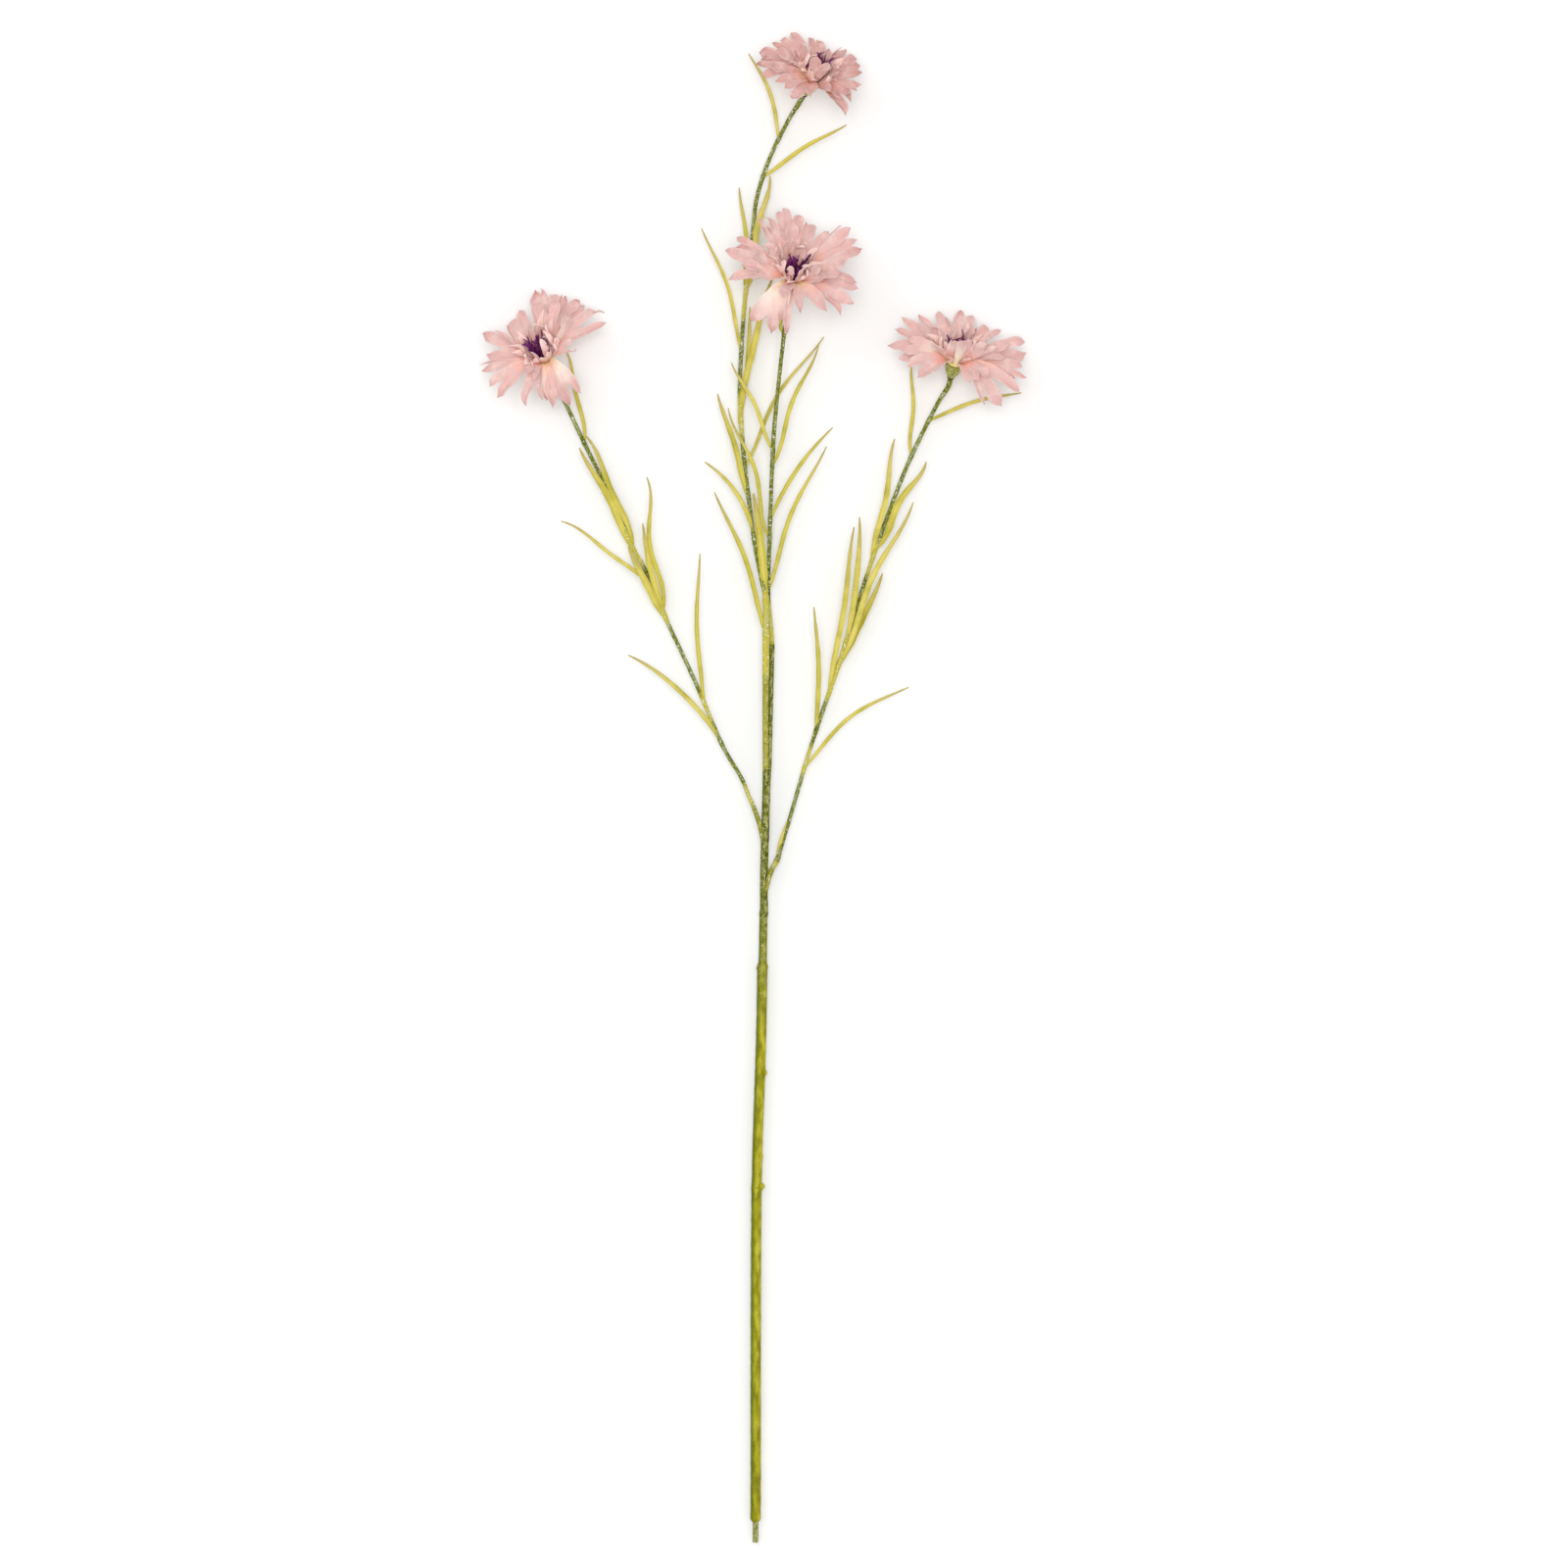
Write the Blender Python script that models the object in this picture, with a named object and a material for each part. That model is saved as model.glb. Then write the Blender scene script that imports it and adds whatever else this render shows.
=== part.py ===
"""Artificial cornflower spray, laid down.

One plastic-coated stem with a wire core forks into four leafy branches.
Each branch ends in a scaly cup, a bloom of lobed fabric florets and a tuft of stamens.
The spray lies along +Y with the cut end at -Y, and its blooms look up and along +Y.
"""
import math
import random

import bmesh
import bpy
from mathutils import Matrix, Vector

MM = 0.001

# Driving dimensions in millimetres.
GAP = 0.3
WIRE_RADIUS = 1.15
WIRE_BARE = 8.4
WIRE_SEATED = 14.0
BRANCH_RADIUS = 0.85
BRANCH_SIDES = 7
STEM_SIDES = 10
LEAF_THICKNESS = 0.64
FLORET_THICKNESS = 0.62
CORE_RADIUS = 3.0
CORE_TOP = 0.0
CORE_BOTTOM = -2.2
CUP_TOP = CORE_BOTTOM - GAP
CUP_BOTTOM = -9.0
TUFT_DISC_RADIUS = 1.8
FILAMENT_RADIUS = 0.36
SIDE_TURN = 30.0
SEED = 9338

# Outline of a broad and of a slim lobe above its notch: share of the way to the tip, and half
# width there as a part of the lobe's width.
BROAD_LOBE = ((0.4, 0.5), (0.8, 0.36))
SLIM_LOBE = ((0.62, 0.46),)

# Main stem from the cut end to the upper fork: across, along, height, radius.
MAIN_ROUTE = (
    (0.7, -300.4, 2.03, 2.1),
    (0.8, -280.0, 2.03, 2.1),
    (0.8, -238.0, 2.4, 2.1),
    (0.9, -198.0, 3.0, 2.1),
    (1.1, -166.5, 3.5, 2.1),
    (1.1, -163.5, 3.6, 2.4),
    (1.2, -161.0, 3.7, 2.05),
    (1.8, -138.0, 4.2, 2.1),
    (2.6, -115.6, 4.7, 2.15),
    (3.2, -94.0, 5.2, 2.1),
    (3.5, -74.5, 5.8, 2.15),
    (3.6, -72.6, 5.9, 2.3),
    (3.7, -71.0, 5.9, 1.75),
    (4.0, -53.0, 6.4, 1.65),
    (4.1, -51.0, 6.5, 1.85),
    (4.2, -49.0, 6.5, 1.65),
    (4.2, -36.0, 6.9, 1.65),
    (4.7, -18.0, 7.6, 1.65),
    (5.4, 8.0, 8.3, 1.7),
)

# Short arms of the main stem that the branches plug against.
ARM_ROUTES = (
    ((4.5, -24.0, 7.5, 1.2), (2.9, -16.0, 7.8, 1.1), (1.1, -10.6, 8.0, 0.95), (-0.2, -7.0, 8.1, 0.9)),
    ((4.2, -43.5, 6.8, 1.3), (5.8, -37.0, 7.0, 1.25), (7.6, -32.6, 7.2, 1.1)),
    ((5.0, 3.0, 8.3, 1.3), (4.9, 14.0, 8.8, 1.2), (4.8, 30.0, 9.4, 1.2), (4.9, 45.0, 9.6, 1.25)),
    ((5.8, 3.0, 8.2, 1.2), (6.4, 14.0, 7.6, 1.1), (6.9, 34.0, 7.0, 1.05), (7.5, 59.0, 6.7, 1.1)),
)

# Leaf buds and scars on the main stem: across, along, height, width, length.
BUDS = (
    (3.1, -162.8, 3.9, 1.5, 1.6),
    (2.6, -150.5, 4.4, 1.2, 3.2),
    (4.6, -116.2, 4.9, 0.9, 1.4),
    (2.0, -73.4, 5.9, 1.0, 1.3),
)

# Branch centre lines: across, along, height, radius.
BRANCH_ROUTES = {
    "left": (
        (-0.35, -6.7, 8.1, 0.9), (-2.2, -2.6, 8.1, 0.86), (-5.2, 4.8, 8.0, 0.85),
        (-13.1, 18.4, 7.6, 0.85), (-24.1, 44.2, 7.0, 0.85), (-35.2, 68.0, 6.4, 0.85),
        (-43.7, 88.2, 6.0, 0.95), (-50.0, 99.6, 5.8, 0.85), (-56.7, 116.1, 5.6, 0.85),
        (-68.3, 139.4, 5.4, 0.85), (-76.4, 156.5, 6.4, 0.85),
    ),
    "right": (
        (7.8, -32.2, 7.2, 1.1), (9.65, -28.9, 7.3, 1.1), (11.4, -23.0, 7.4, 0.95),
        (15.1, -10.9, 7.4, 0.85), (23.8, 18.7, 7.0, 0.85), (34.4, 49.6, 6.6, 0.95),
        (44.2, 80.8, 6.2, 0.85), (53.0, 106.8, 6.0, 0.85), (63.0, 132.7, 6.0, 0.85),
        (74.1, 155.6, 8.0, 0.85),
    ),
    "top": (
        (4.9, 45.3, 9.6, 1.35), (4.95, 47.5, 9.6, 1.45), (5.0, 62.0, 9.4, 1.42),
        (5.0, 65.0, 9.3, 1.28), (4.9, 78.0, 8.9, 1.32), (4.4, 80.5, 8.8, 1.0),
        (0.8, 98.0, 7.6, 0.85), (-1.4, 114.0, 6.8, 0.85), (-3.4, 130.0, 6.0, 0.85),
        (-4.9, 146.0, 5.2, 0.95), (-5.8, 162.0, 4.8, 0.85), (-4.7, 186.0, 4.4, 0.85),
        (-3.4, 202.0, 4.4, 0.85), (-0.6, 226.0, 4.8, 0.85), (1.3, 242.0, 5.4, 0.85),
        (6.5, 258.0, 7.0, 0.85), (14.2, 273.5, 9.2, 0.85),
    ),
    "centre": (
        (7.5, 59.3, 6.7, 1.05), (7.1, 66.0, 6.4, 0.95), (6.2, 76.0, 6.0, 0.85),
        (5.9, 82.0, 6.2, 0.85), (6.2, 92.0, 7.0, 0.85), (6.8, 112.0, 8.8, 0.85),
        (7.5, 130.0, 10.4, 0.85), (8.3, 146.0, 12.0, 0.92), (9.8, 162.0, 13.4, 0.85),
        (12.2, 184.0, 15.2, 0.85),
    ),
}

# Leaves: distance along the branch, turn out (left is positive), curl, wave,
# length, width, lift, change of lift.
LEAVES = {
    "left": (
        (164, -34, 42, 13, 40, 1.6, 0, 0),
        (117, -27, 43, 13, 50, 2.4, 6, -8),
        (116, 5, -12, -8, 47, 2.8, 4, 4),
        (95, 5, 50, 13, 50, 1.6, 14, -18),
        (85, 16, -23, -6, 33, 2.8, 10, -6),
        (88, -34, 37, 21, 56, 2.0, 12, -8),
        (86, -5, -9, 2, 39, 2.4, 8, 6),
        (47, -19, -5, 4, 61, 1.8, 10, -12),
        (29, 5, 38, 2, 53, 2.0, 8, -14),
    ),
    "right": (
        (178, 39, -30, -14, 40, 1.6, 0, 0),
        (194, -40, -13, 4, 40, 1.6, -5, 4),
        (133, 17, -17, -10, 50, 2.4, 6, -4),
        (138, -30, 39, 21, 41, 2.8, 8, -6),
        (88, -15, 16, 12, 73, 2.4, 9, -10),
        (88, -17, 18, 4, 41, 2.8, 2, 2),
        (76, 14, -7, -5, 68, 2.4, 7, -6),
        (97, 2, 19, 2, 52, 2.4, 12, -10),
        (59, 17, 6, -3, 51, 2.0, 10, -4),
        (43, -24, -24, 7, 55, 1.6, 6, -12),
        (3, 12, -14, 0, 17, 1.3, 8, -6),
    ),
    "top": (
        (223, 33, 26, -4, 38, 1.6, 0, -2),
        (207, -40, -1, 6, 40, 1.8, 3, 6),
        (161, -23, 36, 17, 47, 2.8, 3, 0),
        (159, 12, -4, -8, 43, 1.8, 2, 0),
        (106, -1, -31, -7, 62, 2.6, 4, -6),
        (108, -10, 4, -2, 45, 2.0, 1, 0),
        (135, 18, 7, -7, 53, 1.6, 6, 0),
        (75, 15, -11, -7, 44, 2.4, 4, 0),
        (45, -17, 67, -1, 51, 1.8, 6, -4),
        (33, -3, 8, 0, 43, 3.2, 3, -8),
        (87, -35, -3, 10, 63, 1.6, -1, 2),
        (18, 18, 4, -6, 62, 2.0, 0, 2),
    ),
    "centre": (
        (79, 34, -12, -11, 40, 1.6, 4, -4),
        (43, 29, -20, -17, 57, 1.6, 10, -4),
        (73, -27, 18, 13, 53, 1.8, 6, -4),
        (51, -21, -24, 0, 46, 1.8, 10, -6),
        (22, -23, -4, 7, 64, 1.8, 8, -6),
        (127, 55, -120, 0, 9, 1.4, 8, -20),
    ),
}

# Blooms: middle of the ring, the way the bloom looks, and the large florets. Each floret has the rise
# of its rim from the ring, how far up its lobes part, and each lobe's tip from the ring
# (across, along) with its width.
BLOOMS = {
    "left": {
        "ring": (-85.6, 176.0, 17.0),
        "axis": (-0.31, 0.70, 0.64),
        "florets": (
            (-8.0, 0.84, ((-3.8, 27.2, 5.0), (-0.8, 29.4, 1.0), (4.6, 26.8, 5.0))),
            (-1.0, 0.77, ((-2.0, 22.8, 4.8), (5.2, 23.4, 4.8))),
            (-6.0, 0.73, ((7.2, 25.6, 2.6), (9.6, 24.4, 3.4))),
            (-7.0, 0.75, ((13.6, 23.0, 4.8), (16.8, 21.8, 3.8), (24.4, 20.4, 0.9))),
            (-2.0, 0.65, ((20.8, 19.8, 3.8), (25.4, 13.4, 4.6))),
            (9.0, 0.63, ((12.0, 18.2, 4.6),)),
            (9.0, 0.73, ((12.0, 6.4, 3.4), (13.8, 2.2, 0.9))),
            (6.0, 0.73, ((15.8, -14.2, 4.4), (10.8, -19.6, 4.8), (4.2, -21.0, 5.2))),
            (8.0, 0.68, ((7.2, -17.0, 3.8), (1.6, -17.8, 3.6))),
            (10.0, 0.68, ((-7.2, -20.0, 4.8), (-1.2, -17.4, 3.6))),
            (14.0, 0.63, ((-7.2, -7.8, 4.4), (-3.6, -8.8, 3.2))),
            (7.0, 0.73, ((-19.0, -16.4, 5.0), (-22.2, -11.6, 4.6))),
            (4.0, 0.65, ((-25.2, -5.6, 4.2), (-26.2, -3.0, 1.2))),
            (0.0, 0.73, ((-23.6, 0.6, 4.8), (-25.2, 9.0, 4.8))),
            (7.0, 0.63, ((-18.4, 10.6, 2.8), (-15.6, 12.6, 3.0))),
            (-7.0, 0.79, ((-14.2, 16.2, 5.2), (-10.2, 19.8, 4.8))),
            (-16.6, 0.73, ((-1.8, 16.2, 4.4), (2.0, 16.8, 4.4), (5.8, 16.0, 4.4))),
        ),
    },
    "right": {
        "ring": (82.4, 175.2, 17.0),
        "axis": (0.22, 0.81, 0.54),
        "florets": (
            (-12.0, 0.75, ((-4.7, 18.2, 3.8), (1.3, 19.9, 4.8), (6.8, 18.9, 4.2))),
            (-9.0, 0.71, ((-14.9, 18.6, 3.6), (-7.9, 20.6, 3.6))),
            (2.0, 0.68, ((-15.1, 14.6, 3.8), (-9.5, 14.0, 4.0))),
            (-4.0, 0.73, ((-24.7, 11.2, 4.4), (-21.8, 16.3, 3.6))),
            (2.0, 0.68, ((-27.9, 5.2, 4.6), (-23.5, 0.0, 4.4))),
            (8.0, 0.65, ((-19.2, 8.0, 3.8), (-21.8, 3.5, 4.8))),
            (12.0, 0.73, ((-19.8, -2.9, 5.0), (-15.8, -7.8, 5.4), (-9.0, -6.5, 1.0))),
            (14.5, 0.73, ((-8.7, 5.4, 5.0), (-1.3, 6.9, 4.0))),
            (15.5, 0.73, ((3.2, 7.2, 4.8),)),
            (13.5, 0.73, ((6.6, 6.7, 4.0), (12.2, 5.8, 5.0), (16.2, 3.7, 4.4))),
            (12.0, 0.75, ((5.3, -9.3, 4.6), (9.0, -8.6, 3.6), (13.4, -7.6, 5.0))),
            (6.0, 0.68, ((11.5, -18.7, 2.8), (18.3, -19.5, 5.6), (25.0, -14.0, 4.8))),
            (3.0, 0.75, ((24.3, -8.2, 3.8), (29.0, -7.6, 2.8), (27.3, -3.3, 3.2))),
            (-2.0, 0.73, ((29.4, 1.4, 5.0), (28.8, 7.6, 4.8))),
            (6.0, 0.73, ((21.3, 6.1, 4.4), (19.7, 1.8, 4.4))),
            (-9.0, 0.73, ((13.9, 13.7, 5.0), (18.8, 12.7, 3.4))),
            (3.0, 0.73, ((6.4, 13.3, 3.8), (8.9, 13.6, 1.2))),
            (-16.6, 0.73, ((0.6, 9.4, 4.2), (4.4, 9.8, 4.2), (8.0, 9.2, 4.2))),
        ),
    },
    "centre": {
        "ring": (16.0, 208.4, 26.0),
        "axis": (0.15, 0.69, 0.71),
        "florets": (
            (-7.0, 0.83, ((-5.6, 27.2, 4.0), (-3.0, 29.6, 3.4), (2.2, 25.8, 4.8))),
            (-3.0, 0.73, ((-11.4, 21.2, 4.4), (-9.8, 25.8, 5.0), (-3.8, 21.0, 4.4))),
            (4.0, 0.73, ((-0.2, 21.8, 5.4), (4.4, 22.0, 1.0))),
            (-6.0, 0.68, ((5.8, 23.2, 3.2), (8.8, 22.8, 4.8), (14.4, 18.8, 5.2))),
            (-9.0, 0.73, ((15.8, 16.6, 4.6), (19.4, 21.6, 0.9))),
            (1.0, 0.73, ((23.6, 19.8, 5.6), (26.0, 15.6, 4.4), (28.0, 11.8, 5.0))),
            (9.0, 0.68, ((23.8, 9.2, 4.8), (21.8, 5.2, 4.8), (19.6, 1.4, 4.4))),
            (8.0, 0.73, ((25.8, -1.8, 4.2), (26.6, -5.2, 4.8))),
            (8.0, 0.65, ((24.0, -12.4, 5.2), (20.0, -15.2, 4.2))),
            (12.0, 0.63, ((13.0, -14.4, 5.6), (2.8, -15.2, 4.2))),
            (7.0, 0.81, ((-17.0, -18.6, 5.6), (-9.2, -23.0, 5.6), (-5.0, -18.5, 3.6))),
            (9.0, 0.63, ((-3.6, -23.6, 3.4),)),
            (14.5, 0.63, ((-4.4, -8.6, 4.2), (-1.4, -7.4, 3.0))),
            (12.0, 0.68, ((-17.2, -2.0, 4.4), (-20.4, 4.0, 5.0))),
            (2.0, 0.68, ((-26.6, -0.6, 4.6), (-27.2, 9.2, 5.2))),
            (-3.0, 0.73, ((-22.4, 12.4, 5.2), (-23.6, 16.4, 3.6))),
            (-3.0, 0.73, ((-14.8, 24.0, 2.8),)),
            (10.0, 0.73, ((-16.0, 9.5, 5.2), (-11.5, 12.5, 4.8))),
            (14.0, 0.73, ((11.0, 3.5, 4.6), (14.0, -0.5, 4.6))),
            (-17.0, 0.73, ((-0.5, 17.0, 4.2), (4.5, 17.0, 4.2))),
        ),
    },
    "top": {
        "ring": (24.1, 289.8, 18.0),
        "axis": (0.41, 0.70, 0.58),
        "florets": (
            (-7.0, 0.75, ((-16.4, 14.6, 4.2), (-13.9, 17.8, 3.8), (-8.7, 19.4, 4.6))),
            (2.0, 0.79, ((-21.6, 10.8, 5.2), (-20.8, 7.0, 4.8))),
            (6.0, 0.73, ((-23.1, 4.8, 3.2), (-20.9, 1.6, 4.6))),
            (10.0, 0.68, ((-14.1, 11.2, 4.4), (-9.5, 6.4, 4.4))),
            (13.0, 0.68, ((-18.0, 3.6, 4.6),)),
            (13.0, 0.75, ((-14.9, -2.2, 5.0), (-11.7, -5.0, 4.4))),
            (13.0, 0.75, ((-8.1, -9.8, 5.8), (-1.3, -8.2, 5.2))),
            (7.0, 0.63, ((-8.5, 11.9, 3.8), (-4.7, 13.5, 5.0))),
            (8.0, 0.63, ((15.9, -9.6, 3.6), (13.7, -15.0, 5.0))),
            (11.0, 0.73, ((18.0, -4.8, 4.0), (15.9, -7.2, 4.4), (12.1, -8.8, 4.0))),
            (5.0, 0.65, ((20.7, 1.8, 4.0), (19.5, -2.6, 3.4))),
            (-3.0, 0.75, ((18.1, 9.0, 5.0), (19.2, 6.0, 4.4))),
            (-11.0, 0.75, ((10.5, 12.6, 1.0), (13.7, 12.8, 5.2))),
            (-10.0, 0.71, ((-0.7, 18.2, 3.4), (3.5, 16.6, 5.0))),
            (3.0, 0.73, ((6.3, 12.0, 4.8), (10.7, 9.8, 4.4))),
            (16.0, 0.68, ((1.7, 7.4, 5.2), (5.9, 4.4, 4.6))),
            (14.0, 0.68, ((8.1, -6.8, 5.0), (11.9, 2.5, 4.0))),
            (-16.0, 0.73, ((2.4, 7.4, 4.2), (8.2, 6.6, 4.2))),
        ),
    },
}


def clear_scene():
    """Start from an empty file."""
    for item in list(bpy.data.objects):
        bpy.data.objects.remove(item, do_unlink=True)


def plain_material(name, colour, roughness, metallic=0.0):
    """One principled material."""
    material = bpy.data.materials.new(name)
    material.use_nodes = True
    shader = material.node_tree.nodes["Principled BSDF"]
    shader.inputs["Base Color"].default_value = (*colour, 1.0)
    shader.inputs["Roughness"].default_value = roughness
    shader.inputs["Metallic"].default_value = metallic
    return material


def mesh_object(name, solid, material, collection):
    """An object from vertices in millimetres and faces."""
    vertices, faces = solid
    mesh = bpy.data.meshes.new(name)
    mesh.from_pydata([tuple(vertex * MM) for vertex in vertices], [], faces)
    mesh.update()
    item = bpy.data.objects.new(name, mesh)
    item.data.materials.append(material)
    collection.objects.link(item)
    return item


def fuse(name, solids, material):
    """Join closed solids that sink into one another as one body."""
    home = bpy.context.scene.collection
    body = mesh_object(name, solids[0], material, home)
    repeats = bpy.data.collections.new(name + "_repeats")
    home.children.link(repeats)
    for index, solid in enumerate(solids[1:]):
        mesh_object(f"{name}_{index}", solid, material, repeats)
    join = body.modifiers.new("join", "BOOLEAN")
    join.operation = "UNION"
    join.operand_type = "COLLECTION"
    join.collection = repeats
    join.solver = "MANIFOLD"
    graph = bpy.context.evaluated_depsgraph_get()
    joined = bpy.data.meshes.new_from_object(body.evaluated_get(graph))
    body.modifiers.clear()
    body.data = joined
    for item in list(repeats.objects):
        bpy.data.objects.remove(item, do_unlink=True)
    bpy.data.collections.remove(repeats)
    fill_pockets(body.data)
    return body


def fill_pockets(mesh):
    """Make the pockets sealed between joined solids solid, by dropping their inner shells."""
    work = bmesh.new()
    work.from_mesh(mesh)
    waiting = set(work.faces)
    inner = []
    while waiting:
        shell = [waiting.pop()]
        for face in shell:
            for edge in face.edges:
                for beside in edge.link_faces:
                    if beside in waiting:
                        waiting.remove(beside)
                        shell.append(beside)
        if shell_volume(shell) < 0:
            inner += shell
    bmesh.ops.delete(work, geom=inner, context="FACES")
    work.to_mesh(mesh)
    work.free()


def shell_volume(shell):
    """Signed volume inside a closed shell of faces, six times over, in cubic millimetres."""
    volume = 0.0
    near = shell[0].verts[0].co
    for face in shell:
        first, *rest = ((vertex.co - near) / MM for vertex in face.verts)
        for second, third in zip(rest, rest[1:]):
            volume += first.dot(second.cross(third))
    return volume


def smooth_route(points, step):
    """A smooth line through hand-set points, as (place, radius) stations."""
    stations = []
    rows = [Vector(point[:3]) for point in points]
    for index in range(len(points) - 1):
        before = rows[max(index - 1, 0)]
        start, end = rows[index], rows[index + 1]
        after = rows[min(index + 2, len(rows) - 1)]
        pieces = max(1, round((end - start).length / step))
        for piece in range(pieces):
            t = piece / pieces
            bend = (end - before) * 0.5 if index else end - start
            leave = (after - start) * 0.5 if index + 2 < len(rows) else end - start
            place = (
                start * (2 * t ** 3 - 3 * t ** 2 + 1)
                + bend * (t ** 3 - 2 * t ** 2 + t)
                + end * (3 * t ** 2 - 2 * t ** 3)
                + leave * (t ** 3 - t ** 2)
            )
            radius = points[index][3] * (1 - t) + points[index + 1][3] * t
            stations.append((place, radius))
    stations.append((rows[-1], points[-1][3]))
    return stations


def tube(stations, sides):
    """A closed round tube through stations, with a flat facet underneath."""
    vertices = []
    faces = []
    for index, (place, radius) in enumerate(stations):
        ahead = stations[min(index + 1, len(stations) - 1)][0]
        behind = stations[max(index - 1, 0)][0]
        along = (ahead - behind).normalized()
        across = along.cross(Vector((0, 0, 1))).normalized()
        above = across.cross(along)
        for side in range(sides):
            angle = 2 * math.pi * (side + 0.5) / sides
            vertices.append(place + (across * math.sin(angle) - above * math.cos(angle)) * radius)
    for index in range(len(stations) - 1):
        for side in range(sides):
            here = index * sides + side
            beside = index * sides + (side + 1) % sides
            faces.append((here, beside, beside + sides, here + sides))
    faces.append(tuple(reversed(range(sides))))
    faces.append(tuple(range(len(vertices) - sides, len(vertices))))
    return vertices, outward(vertices, faces)


def outward(vertices, faces):
    """Turn every face over when the closed solid is inside out."""
    volume = 0.0
    for face in faces:
        for index in range(1, len(face) - 1):
            corner, second, third = vertices[face[0]], vertices[face[index]], vertices[face[index + 1]]
            volume += corner.dot(second.cross(third))
    if volume < 0:
        return [tuple(reversed(face)) for face in faces]
    return faces


def slab(vertices, faces, thickness):
    """A closed sheet of even thickness round a surface, split alike on both faces."""
    normals = [Vector() for _ in vertices]
    edges = {}
    for face in faces:
        a, b, c = (vertices[corner] for corner in face)
        normal = (b - a).cross(c - a)
        for corner, other in zip(face, face[1:] + face[:1]):
            normals[corner] += normal
            edges[(corner, other)] = True
    count = len(vertices)
    offsets = [normal.normalized() * (thickness / 2) for normal in normals]
    shell = [v + o for v, o in zip(vertices, offsets)] + [v - o for v, o in zip(vertices, offsets)]
    skin = [tuple(face) for face in faces]
    skin += [tuple(corner + count for corner in reversed(face)) for face in faces]
    for a, b in edges:
        if (b, a) not in edges:
            skin.append((b, a, a + count))
            skin.append((b, a + count, b + count))
    return shell, outward(shell, skin)


def bud(across, along, height, width, length):
    """A small oval leaf bud sunk in the stem."""
    rings, sides = 3, 5
    vertices = [Vector((across, along - length, height))]
    for ring in range(1, rings):
        polar = math.pi * ring / rings
        for side in range(sides):
            angle = 2 * math.pi * side / sides
            spread = width * math.sin(polar)
            vertices.append(Vector((
                across + spread * math.cos(angle),
                along - length * math.cos(polar),
                height + spread * math.sin(angle),
            )))
    vertices.append(Vector((across, along + length, height)))
    last = len(vertices) - 1
    faces = []
    for side in range(sides):
        beside = (side + 1) % sides
        faces.append((0, 1 + side, 1 + beside))
        faces.append((last, last - sides + beside, last - sides + side))
        for ring in range(rings - 2):
            low = 1 + ring * sides
            faces.append((low + side, low + sides + side, low + sides + beside, low + beside))
    return vertices, outward(vertices, faces)


def plan_distance(stations):
    """Distance along a route as seen from above, at each station."""
    travelled = [0.0]
    for (start, _), (end, _) in zip(stations, stations[1:]):
        travelled.append(travelled[-1] + math.hypot(end.x - start.x, end.y - start.y))
    return travelled


def leaf(stations, travelled, row):
    """A narrow strap leaf that grows from the middle of its branch."""
    at, out, curl, wave, length, width, lift, lift_change = row
    index = max(i for i, distance in enumerate(travelled[:-1]) if distance <= at)
    share = (at - travelled[index]) / (travelled[index + 1] - travelled[index])
    start, end = stations[index][0], stations[index + 1][0]
    place = start.lerp(end, share)
    heading = math.atan2(end.y - start.y, end.x - start.x)
    marks = (0.0, 0.1, 0.25, 0.42, 0.6, 0.8, 1.0)
    shape = (0.55, 0.7, 0.97, 1.0, 0.95, 0.7, 0.3)
    fine = 10
    centres = [place.copy()]
    turns = []
    for mark, following in zip(marks, marks[1:] + (1.0,)):
        for piece in range(fine):
            s = mark + (following - mark) * piece / fine
            turn = heading + math.radians(out + curl * s + wave * math.sin(2 * math.pi * s))
            rise = math.radians(lift + lift_change * s)
            if piece == 0:
                turns.append(turn)
            stride = length * (following - mark) / fine
            place = place + Vector((
                math.cos(turn) * math.cos(rise), math.sin(turn) * math.cos(rise), math.sin(rise),
            )) * stride
        centres.append(place.copy())
    vertices = []
    for centre, turn, part in zip(centres, turns, shape):
        half = max(width * part, 0.7) / 2
        side = Vector((-math.sin(turn), math.cos(turn), 0.0)) * half
        vertices += [centre + side, centre - side]
    faces = []
    for index in range(len(marks) - 1):
        low = index * 2
        faces.append((low, low + 1, low + 3))
        faces.append((low, low + 3, low + 2))
    return slab(vertices, faces, LEAF_THICKNESS)


def bloom_frame(bloom):
    """Ring middle and the unit vector the bloom looks along."""
    return Vector(bloom["ring"]), Vector(bloom["axis"]).normalized()


def branch_route(name):
    """The hand-set branch line, carried on to the foot of its cup."""
    ring, axis = bloom_frame(BLOOMS[name])
    foot = ring + axis * (CUP_BOTTOM - GAP)
    knee = foot - axis * 4.0
    return BRANCH_ROUTES[name] + ((*knee, BRANCH_RADIUS), (*foot, BRANCH_RADIUS))


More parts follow.
